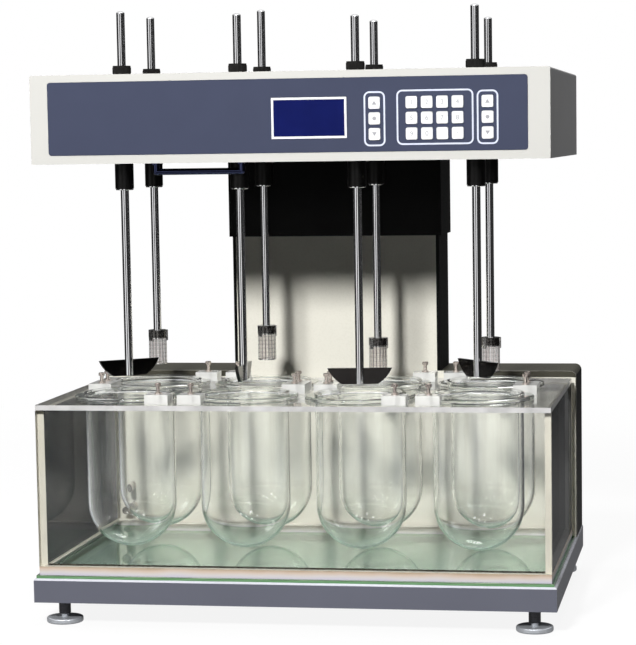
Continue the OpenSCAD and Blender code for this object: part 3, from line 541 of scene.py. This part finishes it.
def is_edge_of_sheet(point, normal):
    """True for the sawn edges of the bath's panels."""
    if point.z < tank_low.z + TANK_FLOOR + HAIR:
        return abs(normal.z) < ALONG
    if point.y < tank_low.y + TANK_WALL + HAIR or point.y > tank_high.y - TANK_WALL - HAIR:
        return abs(normal.y) < ALONG
    return abs(normal.x) < ALONG


def is_floor_edge(point, normal):
    """True for the sawn edges of the bath's floor."""
    return point.z < tank_low.z + TANK_FLOOR and is_edge_of_sheet(point, normal)


def is_side_panel(point, normal):
    """True for the large faces of the bath's left and right panels."""
    inside = tank_low.y + TANK_WALL < point.y < tank_high.y - TANK_WALL
    return inside and point.z > tank_low.z + TANK_FLOOR and abs(normal.x) > ALONG


def is_level(point, normal):
    """True for level faces."""
    return abs(normal.z) > ALONG


def is_upright(point, normal):
    """True for upright faces."""
    return abs(normal.z) < ALONG


def is_outer_edge(point, normal):
    """True for the vessel plate's four straight sides."""
    on_x = abs(abs(point.x) - tank_high.x) < SLACK
    on_y = point.y < tank_low.y + SLACK or point.y > tank_high.y - SLACK
    return is_upright(point, normal) and (on_x or on_y)


PLAIN_PARTS = {
    "vessels": vessel_glass,
    "clamp_blocks": block_acrylic_painted_highlight,
    "clamp_screws": stainless,
    "rear_fascia": cream_enamel,
    "column_cover": black_enamel,
    "guide_rods": machined,
    "lift_screw": machined,
    "lift_motor": motor_black,
    "bath_circulator": stainless,
    "power_inlet": black_plastic,
    "power_switch": black_plastic,
    "head_cover": grey_enamel,
    "front_bezel": cream_front,
    "head_floor_plate": black_enamel,
    "panel_overlay": panel_film,
    "display": lcd_glass,
    "control_board": board_green,
    "spindle_bearings": machined,
    "drive_motor": motor_black,
    "motor_pulley": machined,
    "drive_belt": belt_rubber,
    "lift_carriage": machined,
    # The shroud's black is partly painted shade, where the head's shadow falls
    "column_shroud": black_enamel,
    "grab_rail": chrome_painted_blue_reflection,
}
for name, made in PLAIN_PARTS.items():
    dress(name, made)
# The base's upward faces get the lighter paint, a painted highlight where light falls on its top
dress("base_chassis", base_enamel, (base_top_painted_highlight, lambda point, normal: normal.z > BASE_HIGHLIGHT_TILT))
dress("glass_sheet", green_glass, (green_edge, is_upright))
dress(
    "water_tank", acrylic, (floor_edge, is_floor_edge), (side_acrylic_painted_shade, is_side_panel),
    (sheet_edge, is_edge_of_sheet), (floor_acrylic, is_level),
)
dress("vessel_plate", acrylic, (plate_edge, is_outer_edge))
# The cover's upward faces are olive and its other faces black: the top painted lighter where light falls
# on it
dress("cabinet_cover", black_enamel, (olive_enamel, lambda point, normal: normal.z > COVER_LIT_TOP_TILT))
for i in range(1, STATIONS_PER_ROW + 1):
    dress_station(f"paddle_station_{i}", axes[f"paddle_{i}"], basket=False)
    dress_station(f"basket_station_{i}", axes[f"basket_{i}"], basket=True)
    dress(f"foot_{i}", satin_zinc, (stud_dark_steel_and_painted_shade, lambda point, normal: point.z > FOOT_NECK_TOP))
for k in range(1, KEY_COUNT + 1):
    dress(f"key_{k}", key_cap)


# Mesh tools for the added pieces

WELD = 1e-7


def piece(name, shape, made, body, smooth=30):
    """New piece of the object from a bmesh, riding on a body."""
    mesh = bpy.data.meshes.new(name)
    bmesh.ops.recalc_face_normals(shape, faces=shape.faces)
    shape.to_mesh(mesh)
    shape.free()
    mesh.materials.append(made)
    for face in mesh.polygons:
        face.use_smooth = True
    mesh.set_sharp_from_angle(angle=math.radians(smooth))
    obj = bpy.data.objects.new(name, mesh)
    scene.collection.objects.link(obj)
    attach(obj, body)


def prism(shape, first, second):
    """Solid between two flat outlines that match point for point."""
    ends = [[shape.verts.new(point) for point in outline] for outline in (first, second)]
    for end in ends:
        shape.faces.new(end)
    for i in range(len(first)):
        j = (i + 1) % len(first)
        shape.faces.new((ends[0][i], ends[0][j], ends[1][j], ends[1][i]))


def skin(shape, loops):
    """Closed skin from each loop of points to the next, and from the last one to the first."""
    rings = [[shape.verts.new(point) for point in loop] for loop in loops]
    count = len(loops[0])
    for ring, following in zip(rings, rings[1:] + rings[:1]):
        for i in range(count):
            j = (i + 1) % count
            shape.faces.new((ring[i], ring[j], following[j], following[i]))


def around(axis, r, angle, z):
    """Point at a radius, angle and height round an upright axis."""
    return (axis.x + r * math.cos(angle), axis.y + r * math.sin(angle), z)


def full_turn(count):
    """Even angles round a full turn."""
    return [math.tau * i / count for i in range(count)]


def quarter_turn(steps):
    """Even angles from 0 to 90 degrees, both ends included."""
    return [math.pi / 2 * i / steps for i in range(steps + 1)]


def lathe(shape, axis, outline, segments=48):
    """Turns a closed outline of radius and height pairs round an upright axis."""
    skin(shape, [[around(axis, r, a, z) for r, z in outline] for a in full_turn(segments)])
    bmesh.ops.remove_doubles(shape, verts=shape.verts, dist=WELD)


def slab(shape, outline, y0, y1):
    """Solid between two depths with an outline of X and Z pairs."""
    prism(shape, *([(x, y, z) for x, z in outline] for y in (y0, y1)))


def rounded(x, z, w, h, r, steps=6):
    """Outline of a rectangle with round corners."""
    points = []
    for corner, (sx, sz) in enumerate(((1, 1), (-1, 1), (-1, -1), (1, -1))):
        for i in range(steps + 1):
            a = math.radians(90 * (corner + i / steps))
            across = sx * (w / 2 - r) + r * math.cos(a)
            up = sz * (h / 2 - r) + r * math.sin(a)
            points.append((x + across, z + up))
    return points


def frame_of(shape, x, z, w, h, r, line, y0, y1):
    """Flat frame with round corners and a constant line width."""
    outer = rounded(x, z, w, h, r)
    inner = rounded(x, z, w - 2 * line, h - 2 * line, max(r - line, SLACK))
    edges = (outer, y0), (inner, y0), (inner, y1), (outer, y1)
    skin(shape, [[(px, y, pz) for px, pz in points] for points, y in edges])


def knurl_ring(axis, z0, z1, r0, r1, count):
    """Ring with upright ridges."""
    turns = full_turn(2 * count)
    ridged = [r1 if i % 2 else r0 + SLACK for i in range(2 * count)]
    plain = [r0] * (2 * count)
    edges = (ridged, z0), (ridged, z1), (plain, z1), (plain, z0)
    shape = bmesh.new()
    skin(shape, [[around(axis, r, a, z) for r, a in zip(radii, turns)] for radii, z in edges])
    return shape


# Control panel: printed frames, the display's border and the marks on the keys

PRINT_T = 0.08 * MM
PRINT_LINE = 1.9 * MM
KEY_FRAME_R = 6.5 * MM
BORDER_W, BORDER_H = 86.6 * MM, 46.3 * MM
BORDER_R = 0.5 * MM
BORDER_LINE = 2.5 * MM

# Middle X and Z, width and height of the frames round the keys, in millimetres
KEY_FRAMES = ((102.1, 584.8, 24.4, 61.5), (170.7, 585.9, 87.0, 61.7), (230.0, 585.0, 24.2, 60.5))


def add_print(name, box, r, line, y, made):
    """Frame printed on the panel at a depth, its box as middle X and Z, width and height."""
    shape = bmesh.new()
    frame_of(shape, *box, r, line, y - PRINT_T, y)
    piece(name, shape, made, "head")


for i, sizes in enumerate(KEY_FRAMES, 1):
    box = [size * MM for size in sizes]
    add_print(f"key_frame_{i}", box, KEY_FRAME_R, PRINT_LINE, panel_y, panel_print)
display_low, display_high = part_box("display")
display_mid = (display_low + display_high) / 2
display_box = (display_mid.x, display_mid.z, BORDER_W, BORDER_H)
add_print("display_border", display_box, BORDER_R, BORDER_LINE, display_low.y, lcd_border)

MARKS = "▲1234▲●5678●▼90.-▼"
MARK_H = 5.4 * MM
MARK_T = 0.06 * MM
DIGIT_SIZE = 1.4 * MARK_H
SIGN_HALF = 0.8 * MARK_H / 2
DOT_SIDES = 20


def digit_mesh(mark):
    """Thin solid of a digit or stop, lying flat."""
    letter = bpy.data.curves.new("digit", "FONT")
    letter.body = mark
    letter.size = DIGIT_SIZE
    letter.extrude = MARK_T / 2
    letter.align_x = letter.align_y = "CENTER"
    holder = bpy.data.objects.new("digit", letter)
    scene.collection.objects.link(holder)
    bpy.context.view_layer.update()
    shown = holder.evaluated_get(bpy.context.evaluated_depsgraph_get())
    mesh = bpy.data.meshes.new_from_object(shown)
    bpy.data.objects.remove(holder)
    return mesh


def mark_shape(mark, x, z, y):
    """Thin raised print of a digit or of a plain round or three-cornered sign."""
    shape = bmesh.new()
    half = MARK_H / 2
    if mark == "●":
        turns = full_turn(DOT_SIDES)
        points = [(x + SIGN_HALF * math.cos(a), z + SIGN_HALF * math.sin(a)) for a in turns]
        slab(shape, points, y - MARK_T, y)
    elif mark in "▲▼":
        tip = SIGN_HALF if mark == "▲" else -SIGN_HALF
        slab(shape, [(x - half, z - tip), (x + half, z - tip), (x, z + tip)], y - MARK_T, y)
    else:
        shape.from_mesh(digit_mesh(mark))
        low = Vector(min(v.co[i] for v in shape.verts) for i in range(3))
        high = Vector(max(v.co[i] for v in shape.verts) for i in range(3))
        centred = Matrix.Translation(-(low + high) / 2)
        stand = Matrix.Translation((x, y - MARK_T / 2, z)) @ Matrix.Rotation(math.radians(90), 4, "X")
        bmesh.ops.transform(shape, matrix=stand @ centred, verts=shape.verts)
    return shape


for k, mark in enumerate(MARKS, 1):
    low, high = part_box(f"key_{k}")
    shape = mark_shape(mark, (low.x + high.x) / 2, (low.z + high.z) / 2, low.y)
    piece(f"key_mark_{k}", shape, key_ink, f"key_{k}")


# Stations: knurled collars, chuck rings, shaft ends and basket wires

KNURLS = 40
KNURL_RIDGE = 0.45 * MM
KNURL_INSET = 2 * MM
KNURL_SINK = 0.05 * MM
KNURL_SMOOTH = 5
RING_BORE = 5.0 * MM
RING_R = 10.4 * MM
RING_H = 1.8 * MM
RING_BEVEL_R = 0.8 * MM
RING_BEVEL_H = 0.5 * MM
DOME_H = 2.2 * MM
DOME_STEPS = 6
DOME_SEGMENTS = 32
collar_z = head_high + COLLAR_GAP


def add_collar_knurl(body, axis):
    """Knurl round the middle of a station's collar."""
    low, high = collar_z + KNURL_INSET, collar_z + COLLAR_H - KNURL_INSET
    shape = knurl_ring(axis, low, high, COLLAR_R - KNURL_SINK, COLLAR_R + KNURL_RIDGE, KNURLS)
    piece(f"{body}_knurl", shape, black_anodised, body, smooth=KNURL_SMOOTH)


def add_chuck_ring(body, axis):
    """Bevelled steel ring under a station's chuck."""
    top = head_low - CHUCK_LEN
    bottom = top - RING_H
    outline = (
        (RING_BORE, top),
        (RING_R - RING_BEVEL_R, top),
        (RING_R, top - RING_BEVEL_H),
        (RING_R, bottom + RING_BEVEL_H),
        (RING_R - RING_BEVEL_R, bottom),
        (RING_BORE, bottom),
    )
    shape = bmesh.new()
    lathe(shape, axis, outline)
    piece(f"{body}_chuck_ring", shape, shaft_steel, body)


def add_shaft_end(body, axis, node_name):
    """Domed end on top of a station's shaft."""
    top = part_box(node_name)[1].z
    arc = [(SHAFT_R * math.cos(a), top + DOME_H * math.sin(a)) for a in quarter_turn(DOME_STEPS)]
    shape = bmesh.new()
    lathe(shape, axis, [(0.0, top), *arc], DOME_SEGMENTS)
    piece(f"{body}_shaft_end", shape, shaft_steel, body)


WIRE = 0.36 * MM
WIRE_UPRIGHTS = 16
WIRE_LEVELS = 6
BASKET_RIM_H = 1.5 * MM
BASKET_RIM_R = BASKET_R + 0.35 * MM


def add_basket_wires(body, axis, node_name):
    """Upright and level wires of the basket, outside its thin cup, and its two rims."""
    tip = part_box(node_name)[0].z
    low, high = tip + BASKET_RIM_H, tip + BASKET_H - BASKET_RIM_H
    section = ((BASKET_R, -WIRE), (BASKET_R + WIRE, 0), (BASKET_R, WIRE))
    shape = bmesh.new()
    for a in full_turn(WIRE_UPRIGHTS):
        turn = Matrix.Translation((axis.x, axis.y, 0)) @ Matrix.Rotation(a, 4, "Z")
        prism(shape, *([turn @ Vector((x, y, z)) for x, y in section] for z in (low, high)))
    for i in range(WIRE_LEVELS):
        z = low + (high - low) * (i + 0.5) / WIRE_LEVELS
        lathe(shape, axis, [(BASKET_R, z - WIRE / 2), (BASKET_R + WIRE / 2, z), (BASKET_R, z + WIRE / 2)])
    for z0, z1 in ((tip, low), (high, tip + BASKET_H - SLACK)):
        lathe(shape, axis, [(BASKET_R, z0), (BASKET_RIM_R, z0), (BASKET_RIM_R, z1), (BASKET_R, z1)])
    piece(f"{body}_wires", shape, clip_steel, body)


for i in range(1, STATIONS_PER_ROW + 1):
    for kind in ("paddle", "basket"):
        body = f"{kind}_{i}"
        add_collar_knurl(body, axes[body])
        add_chuck_ring(body, axes[body])
        add_shaft_end(body, axes[body], f"{kind}_station_{i}")
    add_basket_wires(f"basket_{i}", axes[f"basket_{i}"], f"basket_station_{i}")


# Bath: glue along the floor, and knurled knobs on the clamp screws

BEAD = 2.2 * MM
glue_z = tank_low.z + TANK_FLOOR + SLACK
glue_low = tank_low + Vector((TANK_WALL, TANK_WALL, 0))
glue_high = tank_high - Vector((TANK_WALL, TANK_WALL, 0))


def add_glue(name, start, end, inward, made):
    """Slim fillet of glue along an inner edge of the bath's floor."""
    rise = Vector((0, 0, BEAD))
    hollow = inward * BEAD / 4 + rise / 4
    shape = bmesh.new()
    prism(shape, *([p, p + inward * BEAD, p + hollow, p + rise] for p in (start, end)))
    piece(name, shape, made, "frame")


corners = [
    Vector((glue_low.x, glue_low.y, glue_z)),
    Vector((glue_high.x, glue_low.y, glue_z)),
    Vector((glue_high.x, glue_high.y, glue_z)),
    Vector((glue_low.x, glue_high.y, glue_z)),
]
GLUE = (
    ("front", (0, 1, 0), seal_glue),
    ("right", (-1, 0, 0), sheet_edge),
    ("back", (0, -1, 0), sheet_edge),
    ("left", (1, 0, 0), sheet_edge),
)
for i, (side, inward, made) in enumerate(GLUE):
    add_glue(f"bath_glue_{side}", corners[i], corners[(i + 1) % len(corners)], Vector(inward), made)

KNOB_R = 3.5 * MM
KNOB_H = 4.5 * MM
KNOB_RIDGES = 22
KNOB_RIDGE = 0.3 * MM
KNOB_INSET_LOW, KNOB_INSET_HIGH = 1.1 * MM, 0.8 * MM
CLAMP_X, CLAMP_Y, CLAMP_MID_SCREW = 50 * MM, 59 * MM, 13 * MM
knob_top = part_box("clamp_screws")[1].z


def clamp_screw_axes():
    """Axes of all clamp screws: one outside each row and two between the rows, on alternate sides."""
    front, rear = axes["paddle_1"].y, axes["basket_1"].y
    for i in range(STATIONS_PER_ROW):
        side = 1 if i % 2 == 0 else -1
        x = axes[f"paddle_{i + 1}"].x
        yield Vector((x + side * CLAMP_X, front - CLAMP_Y, 0))
        yield Vector((x + side * CLAMP_X, rear + CLAMP_Y, 0))
        for across in (-CLAMP_MID_SCREW, CLAMP_MID_SCREW):
            yield Vector((x - side * CLAMP_X, (front + rear) / 2 + across, 0))


for i, axis in enumerate(clamp_screw_axes(), 1):
    low, high = knob_top - KNOB_H + KNOB_INSET_LOW, knob_top - KNOB_INSET_HIGH
    shape = knurl_ring(axis, low, high, KNOB_R - KNURL_SINK, KNOB_R + KNOB_RIDGE, KNOB_RIDGES)
    piece(f"knob_knurl_{i}", shape, stainless, "frame", smooth=KNURL_SMOOTH)


# Cabinet: the cover's folded lip round the front sheet

LIP_TOP = 7.5 * MM
LIP_SIDE = 0.7 * MM
LIP_T = 0.8 * MM
LIP_GAP = 1 * MM
LIP_STEPS = 8
CABINET_R = 8 * MM
cabinet_low, cabinet_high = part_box("cabinet_cover")
fascia_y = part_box("rear_fascia")[0].y
lip_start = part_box("column_shroud")[1].x + LIP_GAP


def lip_edge(top, side):
    """Edge of the lip, inset from the cover's top and side: along the top, round the corner and down."""
    x, z = cabinet_high.x - CABINET_R, cabinet_high.z - CABINET_R
    rx, rz = CABINET_R - side, CABINET_R - top
    arc = [(x + rx * math.sin(a), z + rz * math.cos(a)) for a in quarter_turn(LIP_STEPS)]
    return [(lip_start, cabinet_high.z - top), *arc, (cabinet_high.x - side, cabinet_low.z)]


def add_lip(name, side):
    """Lip over the top and the upright edge of one half of the cabinet's front."""
    outline = [*lip_edge(0, 0), *reversed(lip_edge(LIP_TOP, LIP_SIDE))]
    shape = bmesh.new()
    slab(shape, [(side * x, z) for x, z in outline], fascia_y - LIP_T, fascia_y)
    piece(name, shape, olive_enamel, "frame")


add_lip("cover_lip_left", -1)
add_lip("cover_lip_right", 1)


# Back: cover screws, pressed louvres, the inlet's pins and the marks on the rocker

BACK = Vector((0, 1, 0))
SCREW_R = 3.6 * MM
SCREW_H = 1.9 * MM
SCREW_INSET = 14 * MM
SCREW_SEGMENTS = 24

# Domed head with a driver recess, in shares of its radius and height
SCREW_OUTLINE = (
    (0, 0.4), (0.34, 0.4), (0.4, 1.0), (0.75, 0.86), (0.94, 0.5), (1.0, 0.2), (1.0, 0), (0, 0),
)


def add_screws(name, body, places, r=SCREW_R, h=SCREW_H):
    """Domed screws that face back."""
    outline = [(share_r * r, share_h * h) for share_r, share_h in SCREW_OUTLINE]
    turn = BACK.to_track_quat("Z", "Y").to_matrix().to_4x4()
    shape = bmesh.new()
    for place in places:
        before = set(shape.verts)
        lathe(shape, Vector((0, 0, 0)), outline, SCREW_SEGMENTS)
        added = [v for v in shape.verts if v not in before]
        bmesh.ops.transform(shape, matrix=Matrix.Translation(place) @ turn, verts=added)
    piece(name, shape, machined, body)


def back_screws(node_name, columns):
    """Places of screws along the lower and upper edges of a part's back face."""
    low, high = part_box(node_name)
    for i in range(columns):
        x = low.x + SCREW_INSET + (high.x - low.x - 2 * SCREW_INSET) * i / (columns - 1)
        for z in (low.z + SCREW_INSET, high.z - SCREW_INSET):
            yield (x, high.y, z)


add_screws("cabinet_screws", "frame", back_screws("cabinet_cover", 4))
add_screws("head_screws", "head", back_screws("head_cover", 4))
add_screws("shroud_screws", "head", back_screws("column_shroud", 2))

LOUVRES = 8
LOUVRE_PITCH = 11 * MM
LOUVRE_W = 120 * MM
LOUVRE_H = 6 * MM
LOUVRE_PROUD = 2.2 * MM
LOUVRE_TAPER = 0.04
LOUVRE_STEPS = 6
LOUVRE_X = 175 * MM
LOUVRE_Z = 88 * MM


def add_louvres(name, x, z):
    """Block of pressed louvres, each a rounded hood that opens downwards."""
    bulge = [math.sin(a) for a in quarter_turn(LOUVRE_STEPS)]
    shape = bmesh.new()
    for i in range(LOUVRES):
        top = z + i * LOUVRE_PITCH
        section = [(out, top - LOUVRE_H * k / LOUVRE_STEPS) for k, out in enumerate(bulge)]
        section.append((0, top - LOUVRE_H))
        ends = []
        for half in (-LOUVRE_W / 2, LOUVRE_W / 2):
            ends.append([
                (x + half * (1 - LOUVRE_TAPER * out), cabinet_high.y + LOUVRE_PROUD * out, h)
                for out, h in section
            ])
        prism(shape, *ends)
    piece(name, shape, louvre_black, "frame")


add_louvres("louvres_left", -LOUVRE_X, LOUVRE_Z)
add_louvres("louvres_middle", 0, LOUVRE_Z)

SOCKET_DROP = 12 * MM
SOCKET_DEPTH = 15 * MM
PIN_W, PIN_LEN, PIN_H = 2 * MM, 11 * MM, 4 * MM
PIN_R = 0.5 * MM
PIN_STEPS = 3
PIN_SPREAD, PIN_RAISE, EARTH_DROP = 7 * MM, 1.5 * MM, 3.5 * MM
EAR_X = 20 * MM
EAR_SCREW_R, EAR_SCREW_H = 0.8 * SCREW_R, 0.6 * SCREW_H
inlet_low, inlet_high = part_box("power_inlet")
inlet_mid = (inlet_low + inlet_high) / 2
socket_back = inlet_high.y - SOCKET_DEPTH
socket_z = inlet_mid.z - SOCKET_DROP
shape = bmesh.new()
for x, z in ((-PIN_SPREAD, PIN_RAISE), (PIN_SPREAD, PIN_RAISE), (0, -EARTH_DROP)):
    outline = rounded(inlet_mid.x + x, socket_z + z, PIN_W, PIN_H, PIN_R, PIN_STEPS)
    slab(shape, outline, socket_back, socket_back + PIN_LEN)
piece("inlet_pins", shape, machined, "frame")
ears = [(inlet_mid.x + x, inlet_high.y, inlet_mid.z) for x in (-EAR_X, EAR_X)]
add_screws("inlet_screws", "frame", ears, EAR_SCREW_R, EAR_SCREW_H)

ROCKER_TILT = math.radians(8)
ROCKER_CROWN, ROCKER_DIP, ROCKER_HALF = 5.2 * MM, 3.8 * MM, 10 * MM
ROCKER_MARK_T = 0.12 * MM
ROCKER_MARK_H = 5 * MM
ON_BAR_W, ON_BAR_R = 1.0 * MM, 0.3 * MM
ON_BAR_STEPS = 2
OFF_RING_R, OFF_RING_LINE = 2.4 * MM, 0.9 * MM
rocker = next(Vector(j["pos_m"]) for j in frame["joints"] if j["name"] == "switch_rock")


def add_rocker_mark(name, shape, way):
    """Raised white mark in the middle of the rocker's upper half, way 1, or its lower half, way -1."""
    slope = math.atan2(ROCKER_CROWN - ROCKER_DIP, ROCKER_HALF)
    centre = Vector((0, (ROCKER_CROWN + ROCKER_DIP) / 2, way * ROCKER_HALF / 2))
    on_rocker = Matrix.Translation(centre) @ Matrix.Rotation(-way * slope, 4, "X")
    place = Matrix.Translation(rocker) @ Matrix.Rotation(ROCKER_TILT, 4, "X") @ on_rocker
    bmesh.ops.transform(shape, matrix=place, verts=shape.verts)
    piece(name, shape, mark_white, "power_switch")


bar = bmesh.new()
slab(bar, rounded(0, 0, ON_BAR_W, ROCKER_MARK_H, ON_BAR_R, ON_BAR_STEPS), 0, ROCKER_MARK_T)
add_rocker_mark("rocker_on_mark", bar, 1)
ring = bmesh.new()
frame_of(ring, 0, 0, ROCKER_MARK_H, ROCKER_MARK_H, OFF_RING_R, OFF_RING_LINE, 0, ROCKER_MARK_T)
add_rocker_mark("rocker_off_mark", ring, -1)


# Studio: floor, world, lamps and camera

AMBIENT = 0.05
FLOOR_R = 12
FLOOR_SIDES = 96
FLOOR_GREY = (0.12, 0.12, 0.12, 1)
FLOOR_ROUGHNESS = 0.9
FLOOR_LIFT = 0.89
FLOOR_SHINE = 0.22
FLOOR_FADE = (0.9, 2.2)

# Room that glass and polished metal show, by the direction they look in: edges and levels of light
FLAG_EDGE, FLAG_LEVEL = (0.55, 0.85), 0.15
RIGHT_STRIP = (-0.06, 0.02, 0.26, 0.36)
LEFT_STRIP = (-0.85, -0.75, -0.5, -0.4)
LOW_BAND, LOW_BAND_LEVEL = (0.1, 0.13, 0.19, 0.22), 2.0
FRONT_EDGE = (-0.5, -0.3)
WALL_EDGE, WALL_LEVEL = (0.86, 0.96), 0.08
CEILING_EDGE, CEILING_LEVEL = (0.35, 0.65), 0.9
ROOM_LEVEL = 0.03


def side_shade(tree, across):
    """White ahead and behind, and dark to the sides, as between two black flags."""
    return spread(tree, maths(tree, "ABSOLUTE", across), *FLAG_EDGE, 1.0, FLAG_LEVEL)


def strip(tree, value, edges, level=1.0):
    """Level between the inner two of four edges, fading to nothing at the outer two."""
    rise = spread(tree, value, edges[0], edges[1], 0.0, level)
    return maths(tree, "MULTIPLY", rise, spread(tree, value, edges[2], edges[3], 1.0, 0.0))


def room_shine(tree, way):
    """What polished metal mirrors: strips and a low band in front, a dim wall behind and a lit ceiling."""
    strips = maths(tree, "ADD", strip(tree, way["X"], RIGHT_STRIP), strip(tree, way["X"], LEFT_STRIP))
    strips = maths(tree, "ADD", strips, strip(tree, way["Z"], LOW_BAND, LOW_BAND_LEVEL))
    strips = maths(tree, "MULTIPLY", strips, spread(tree, way["Y"], *FRONT_EDGE, 1.0, 0.0))
    wall = spread(tree, way["Y"], *WALL_EDGE, 0.0, WALL_LEVEL)
    ceiling = spread(tree, way["Z"], *CEILING_EDGE, 0.0, CEILING_LEVEL)
    brightest = maths(tree, "MAXIMUM", maths(tree, "MAXIMUM", strips, wall), ceiling)
    return maths(tree, "ADD", brightest, ROOM_LEVEL)


def clean_rays(tree):
    """Camera, mirrored and transmitted rays that have not left a matt surface on their way."""
    path = node(tree, "LightPath").outputs
    clean = maths(tree, "LESS_THAN", path["Diffuse Depth"], 0.5)
    mirrored = maths(tree, "MULTIPLY", path["Is Glossy Ray"], clean)
    through = maths(tree, "MULTIPLY", path["Is Transmission Ray"], clean)
    return path["Is Camera Ray"], mirrored, through


def make_world():
    """White to the camera, dark-sided through glass, a lit room to mirrors, an even light on the rest."""
    world = bpy.data.worlds.new("studio")
    scene.world = world
    world.use_nodes = True
    tree = world.node_tree
    tree.nodes.clear()
    seen, mirrored, through = clean_rays(tree)
    way = split(tree, node(tree, "TexCoord").outputs["Generated"])
    levels = (through, side_shade(tree, way["X"])), (mirrored, room_shine(tree, way)), (seen, 1.0)
    mixed = node(tree, "Background", {"Strength": AMBIENT}).outputs[0]
    for ray, level in levels:
        light = node(tree, "Background", {"Color": WHITE, "Strength": level}).outputs[0]
        mixed = node(tree, "MixShader", {0: ray, 1: mixed, 2: light}).outputs[0]
    plug(tree, node(tree, "OutputWorld").inputs["Surface"], mixed)


def floor_finish():
    """Pale and matt near the object, fading to plain white far off."""
    made, tree, shader = material("floor")
    fixed = {"Base Color": FLOOR_GREY, "Roughness": FLOOR_ROUGHNESS, "Specular IOR Level": 0.0}
    plug_all(tree, shader, fixed)
    seen, mirrored, through = clean_rays(tree)
    place = node(tree, "NewGeometry").outputs["Position"]
    away = node(tree, "VectorMath", {0: place}, operation="LENGTH").outputs["Value"]
    way = split(tree, node(tree, "VectorMath", {0: place}, operation="NORMALIZE").outputs[0])
    room = maths(tree, "MULTIPLY", mirrored, room_shine(tree, way))
    room = maths(tree, "MULTIPLY_ADD", through, side_shade(tree, way["X"]), room)
    any_ray = maths(tree, "MAXIMUM", seen, maths(tree, "MAXIMUM", mirrored, through))
    shown = maths(tree, "MULTIPLY_ADD", mirrored, FLOOR_SHINE, maths(tree, "MAXIMUM", seen, through))
    lift = node(tree, "Emission", {"Strength": maths(tree, "MULTIPLY", shown, FLOOR_LIFT)}).outputs[0]
    near = node(tree, "AddShader", {0: shader.outputs[0], 1: lift}).outputs[0]
    far = node(tree, "Emission", {"Strength": maths(tree, "MAXIMUM", room, seen)}).outputs[0]
    fade = maths(tree, "MULTIPLY", spread(tree, away, *FLOOR_FADE, 0.0, 1.0), any_ray)
    mixed = node(tree, "MixShader", {0: fade, 1: near, 2: far}).outputs[0]
    plug(tree, tree.nodes["Material Output"].inputs["Surface"], mixed)
    return made


def make_floor():
    """Round floor that takes the object's shadow."""
    shape = bmesh.new()
    bmesh.ops.create_circle(shape, cap_ends=True, segments=FLOOR_SIDES, radius=FLOOR_R)
    mesh = bpy.data.meshes.new("floor")
    shape.to_mesh(mesh)
    shape.free()
    mesh.materials.append(floor_finish())
    floor = bpy.data.objects.new("floor", mesh)
    scene.collection.objects.link(floor)


LAMPS_AIM = Vector((0, -0.05, 0.35))


def add_lamp(name, azimuth, elevation, distance, size, power, mirrored=True, lights=True):
    """Round lamp aimed at the object, azimuth 0 in front; it may only light things or only be mirrored."""
    a, e = math.radians(azimuth), math.radians(elevation)
    back = Vector((math.sin(a) * math.cos(e), -math.cos(a) * math.cos(e), math.sin(e)))
    lamp = bpy.data.lights.new(name, "AREA")
    lamp.shape = "DISK"
    lamp.size = size
    lamp.energy = power
    obj = bpy.data.objects.new(name, lamp)
    obj.location = LAMPS_AIM + back * distance
    obj.rotation_euler = (-back).to_track_quat("-Z", "Y").to_euler()
    obj.visible_glossy = mirrored
    obj.visible_diffuse = lights
    scene.collection.objects.link(obj)


# Name, azimuth, elevation, distance, size, power and whether metal mirrors the lamp
LAMPS = (
    ("key", -5, 30.5, 3.0, 0.4, 105, False),
    ("overhead", 0, 84, 2.2, 1.6, 9, True),
    ("left_fill", -108, 35, 2.8, 1.2, 16, False),
    ("right_fill", 112, 35, 2.8, 1.2, 12, False),
    ("back_fill", 172, 42, 3.0, 1.2, 26, False),
)
SPARK_PLACES = ((-30, 38), (-12, 50), (12, 44), (28, 36))
SPARK_DISTANCE, SPARK_SIZE, SPARK_POWER = 2.6, 0.3, 8


def make_camera():
    """Camera at the photograph's place, with its framing."""
    yaw, pitch, roll = (math.radians(v) for v in (CAMERA_YAW, CAMERA_PITCH, CAMERA_ROLL))
    ahead = Vector((-math.sin(yaw) * math.cos(pitch), math.cos(yaw) * math.cos(pitch), math.sin(pitch)))
    level = ahead.cross(Vector((0, 0, 1))).normalized()
    upright = level.cross(ahead)
    right = math.cos(roll) * level + math.sin(roll) * upright
    up = math.cos(roll) * upright - math.sin(roll) * level
    lens = bpy.data.cameras.new("camera")
    lens.sensor_width = SENSOR_W
    lens.lens = FOCAL_PX * SENSOR_W / IMAGE_H
    lens.shift_x = (IMAGE_W / 2 - CENTRE_PX[0]) / IMAGE_H
    lens.shift_y = (CENTRE_PX[1] - IMAGE_H / 2) / IMAGE_H
    obj = bpy.data.objects.new("camera", lens)
    turn = Matrix((right, up, -ahead)).transposed().to_4x4()
    obj.matrix_world = Matrix.Translation(CAMERA_AT) @ turn
    scene.collection.objects.link(obj)
    scene.camera = obj


make_world()
make_floor()
for *place_and_light, mirrored in LAMPS:
    add_lamp(*place_and_light, mirrored=mirrored)
for i, (azimuth, elevation) in enumerate(SPARK_PLACES, 1):
    add_lamp(
        f"spark_{i}", azimuth, elevation, SPARK_DISTANCE, SPARK_SIZE, SPARK_POWER, lights=False
    )
make_camera()

GLASS_BOUNCES = 40
scene.view_settings.view_transform = "Standard"
scene.cycles.max_bounces = GLASS_BOUNCES
scene.cycles.transmission_bounces = GLASS_BOUNCES
scene.cycles.transparent_max_bounces = GLASS_BOUNCES
scene.cycles.glossy_bounces = 8
scene.cycles.caustics_reflective = False
scene.cycles.caustics_refractive = False
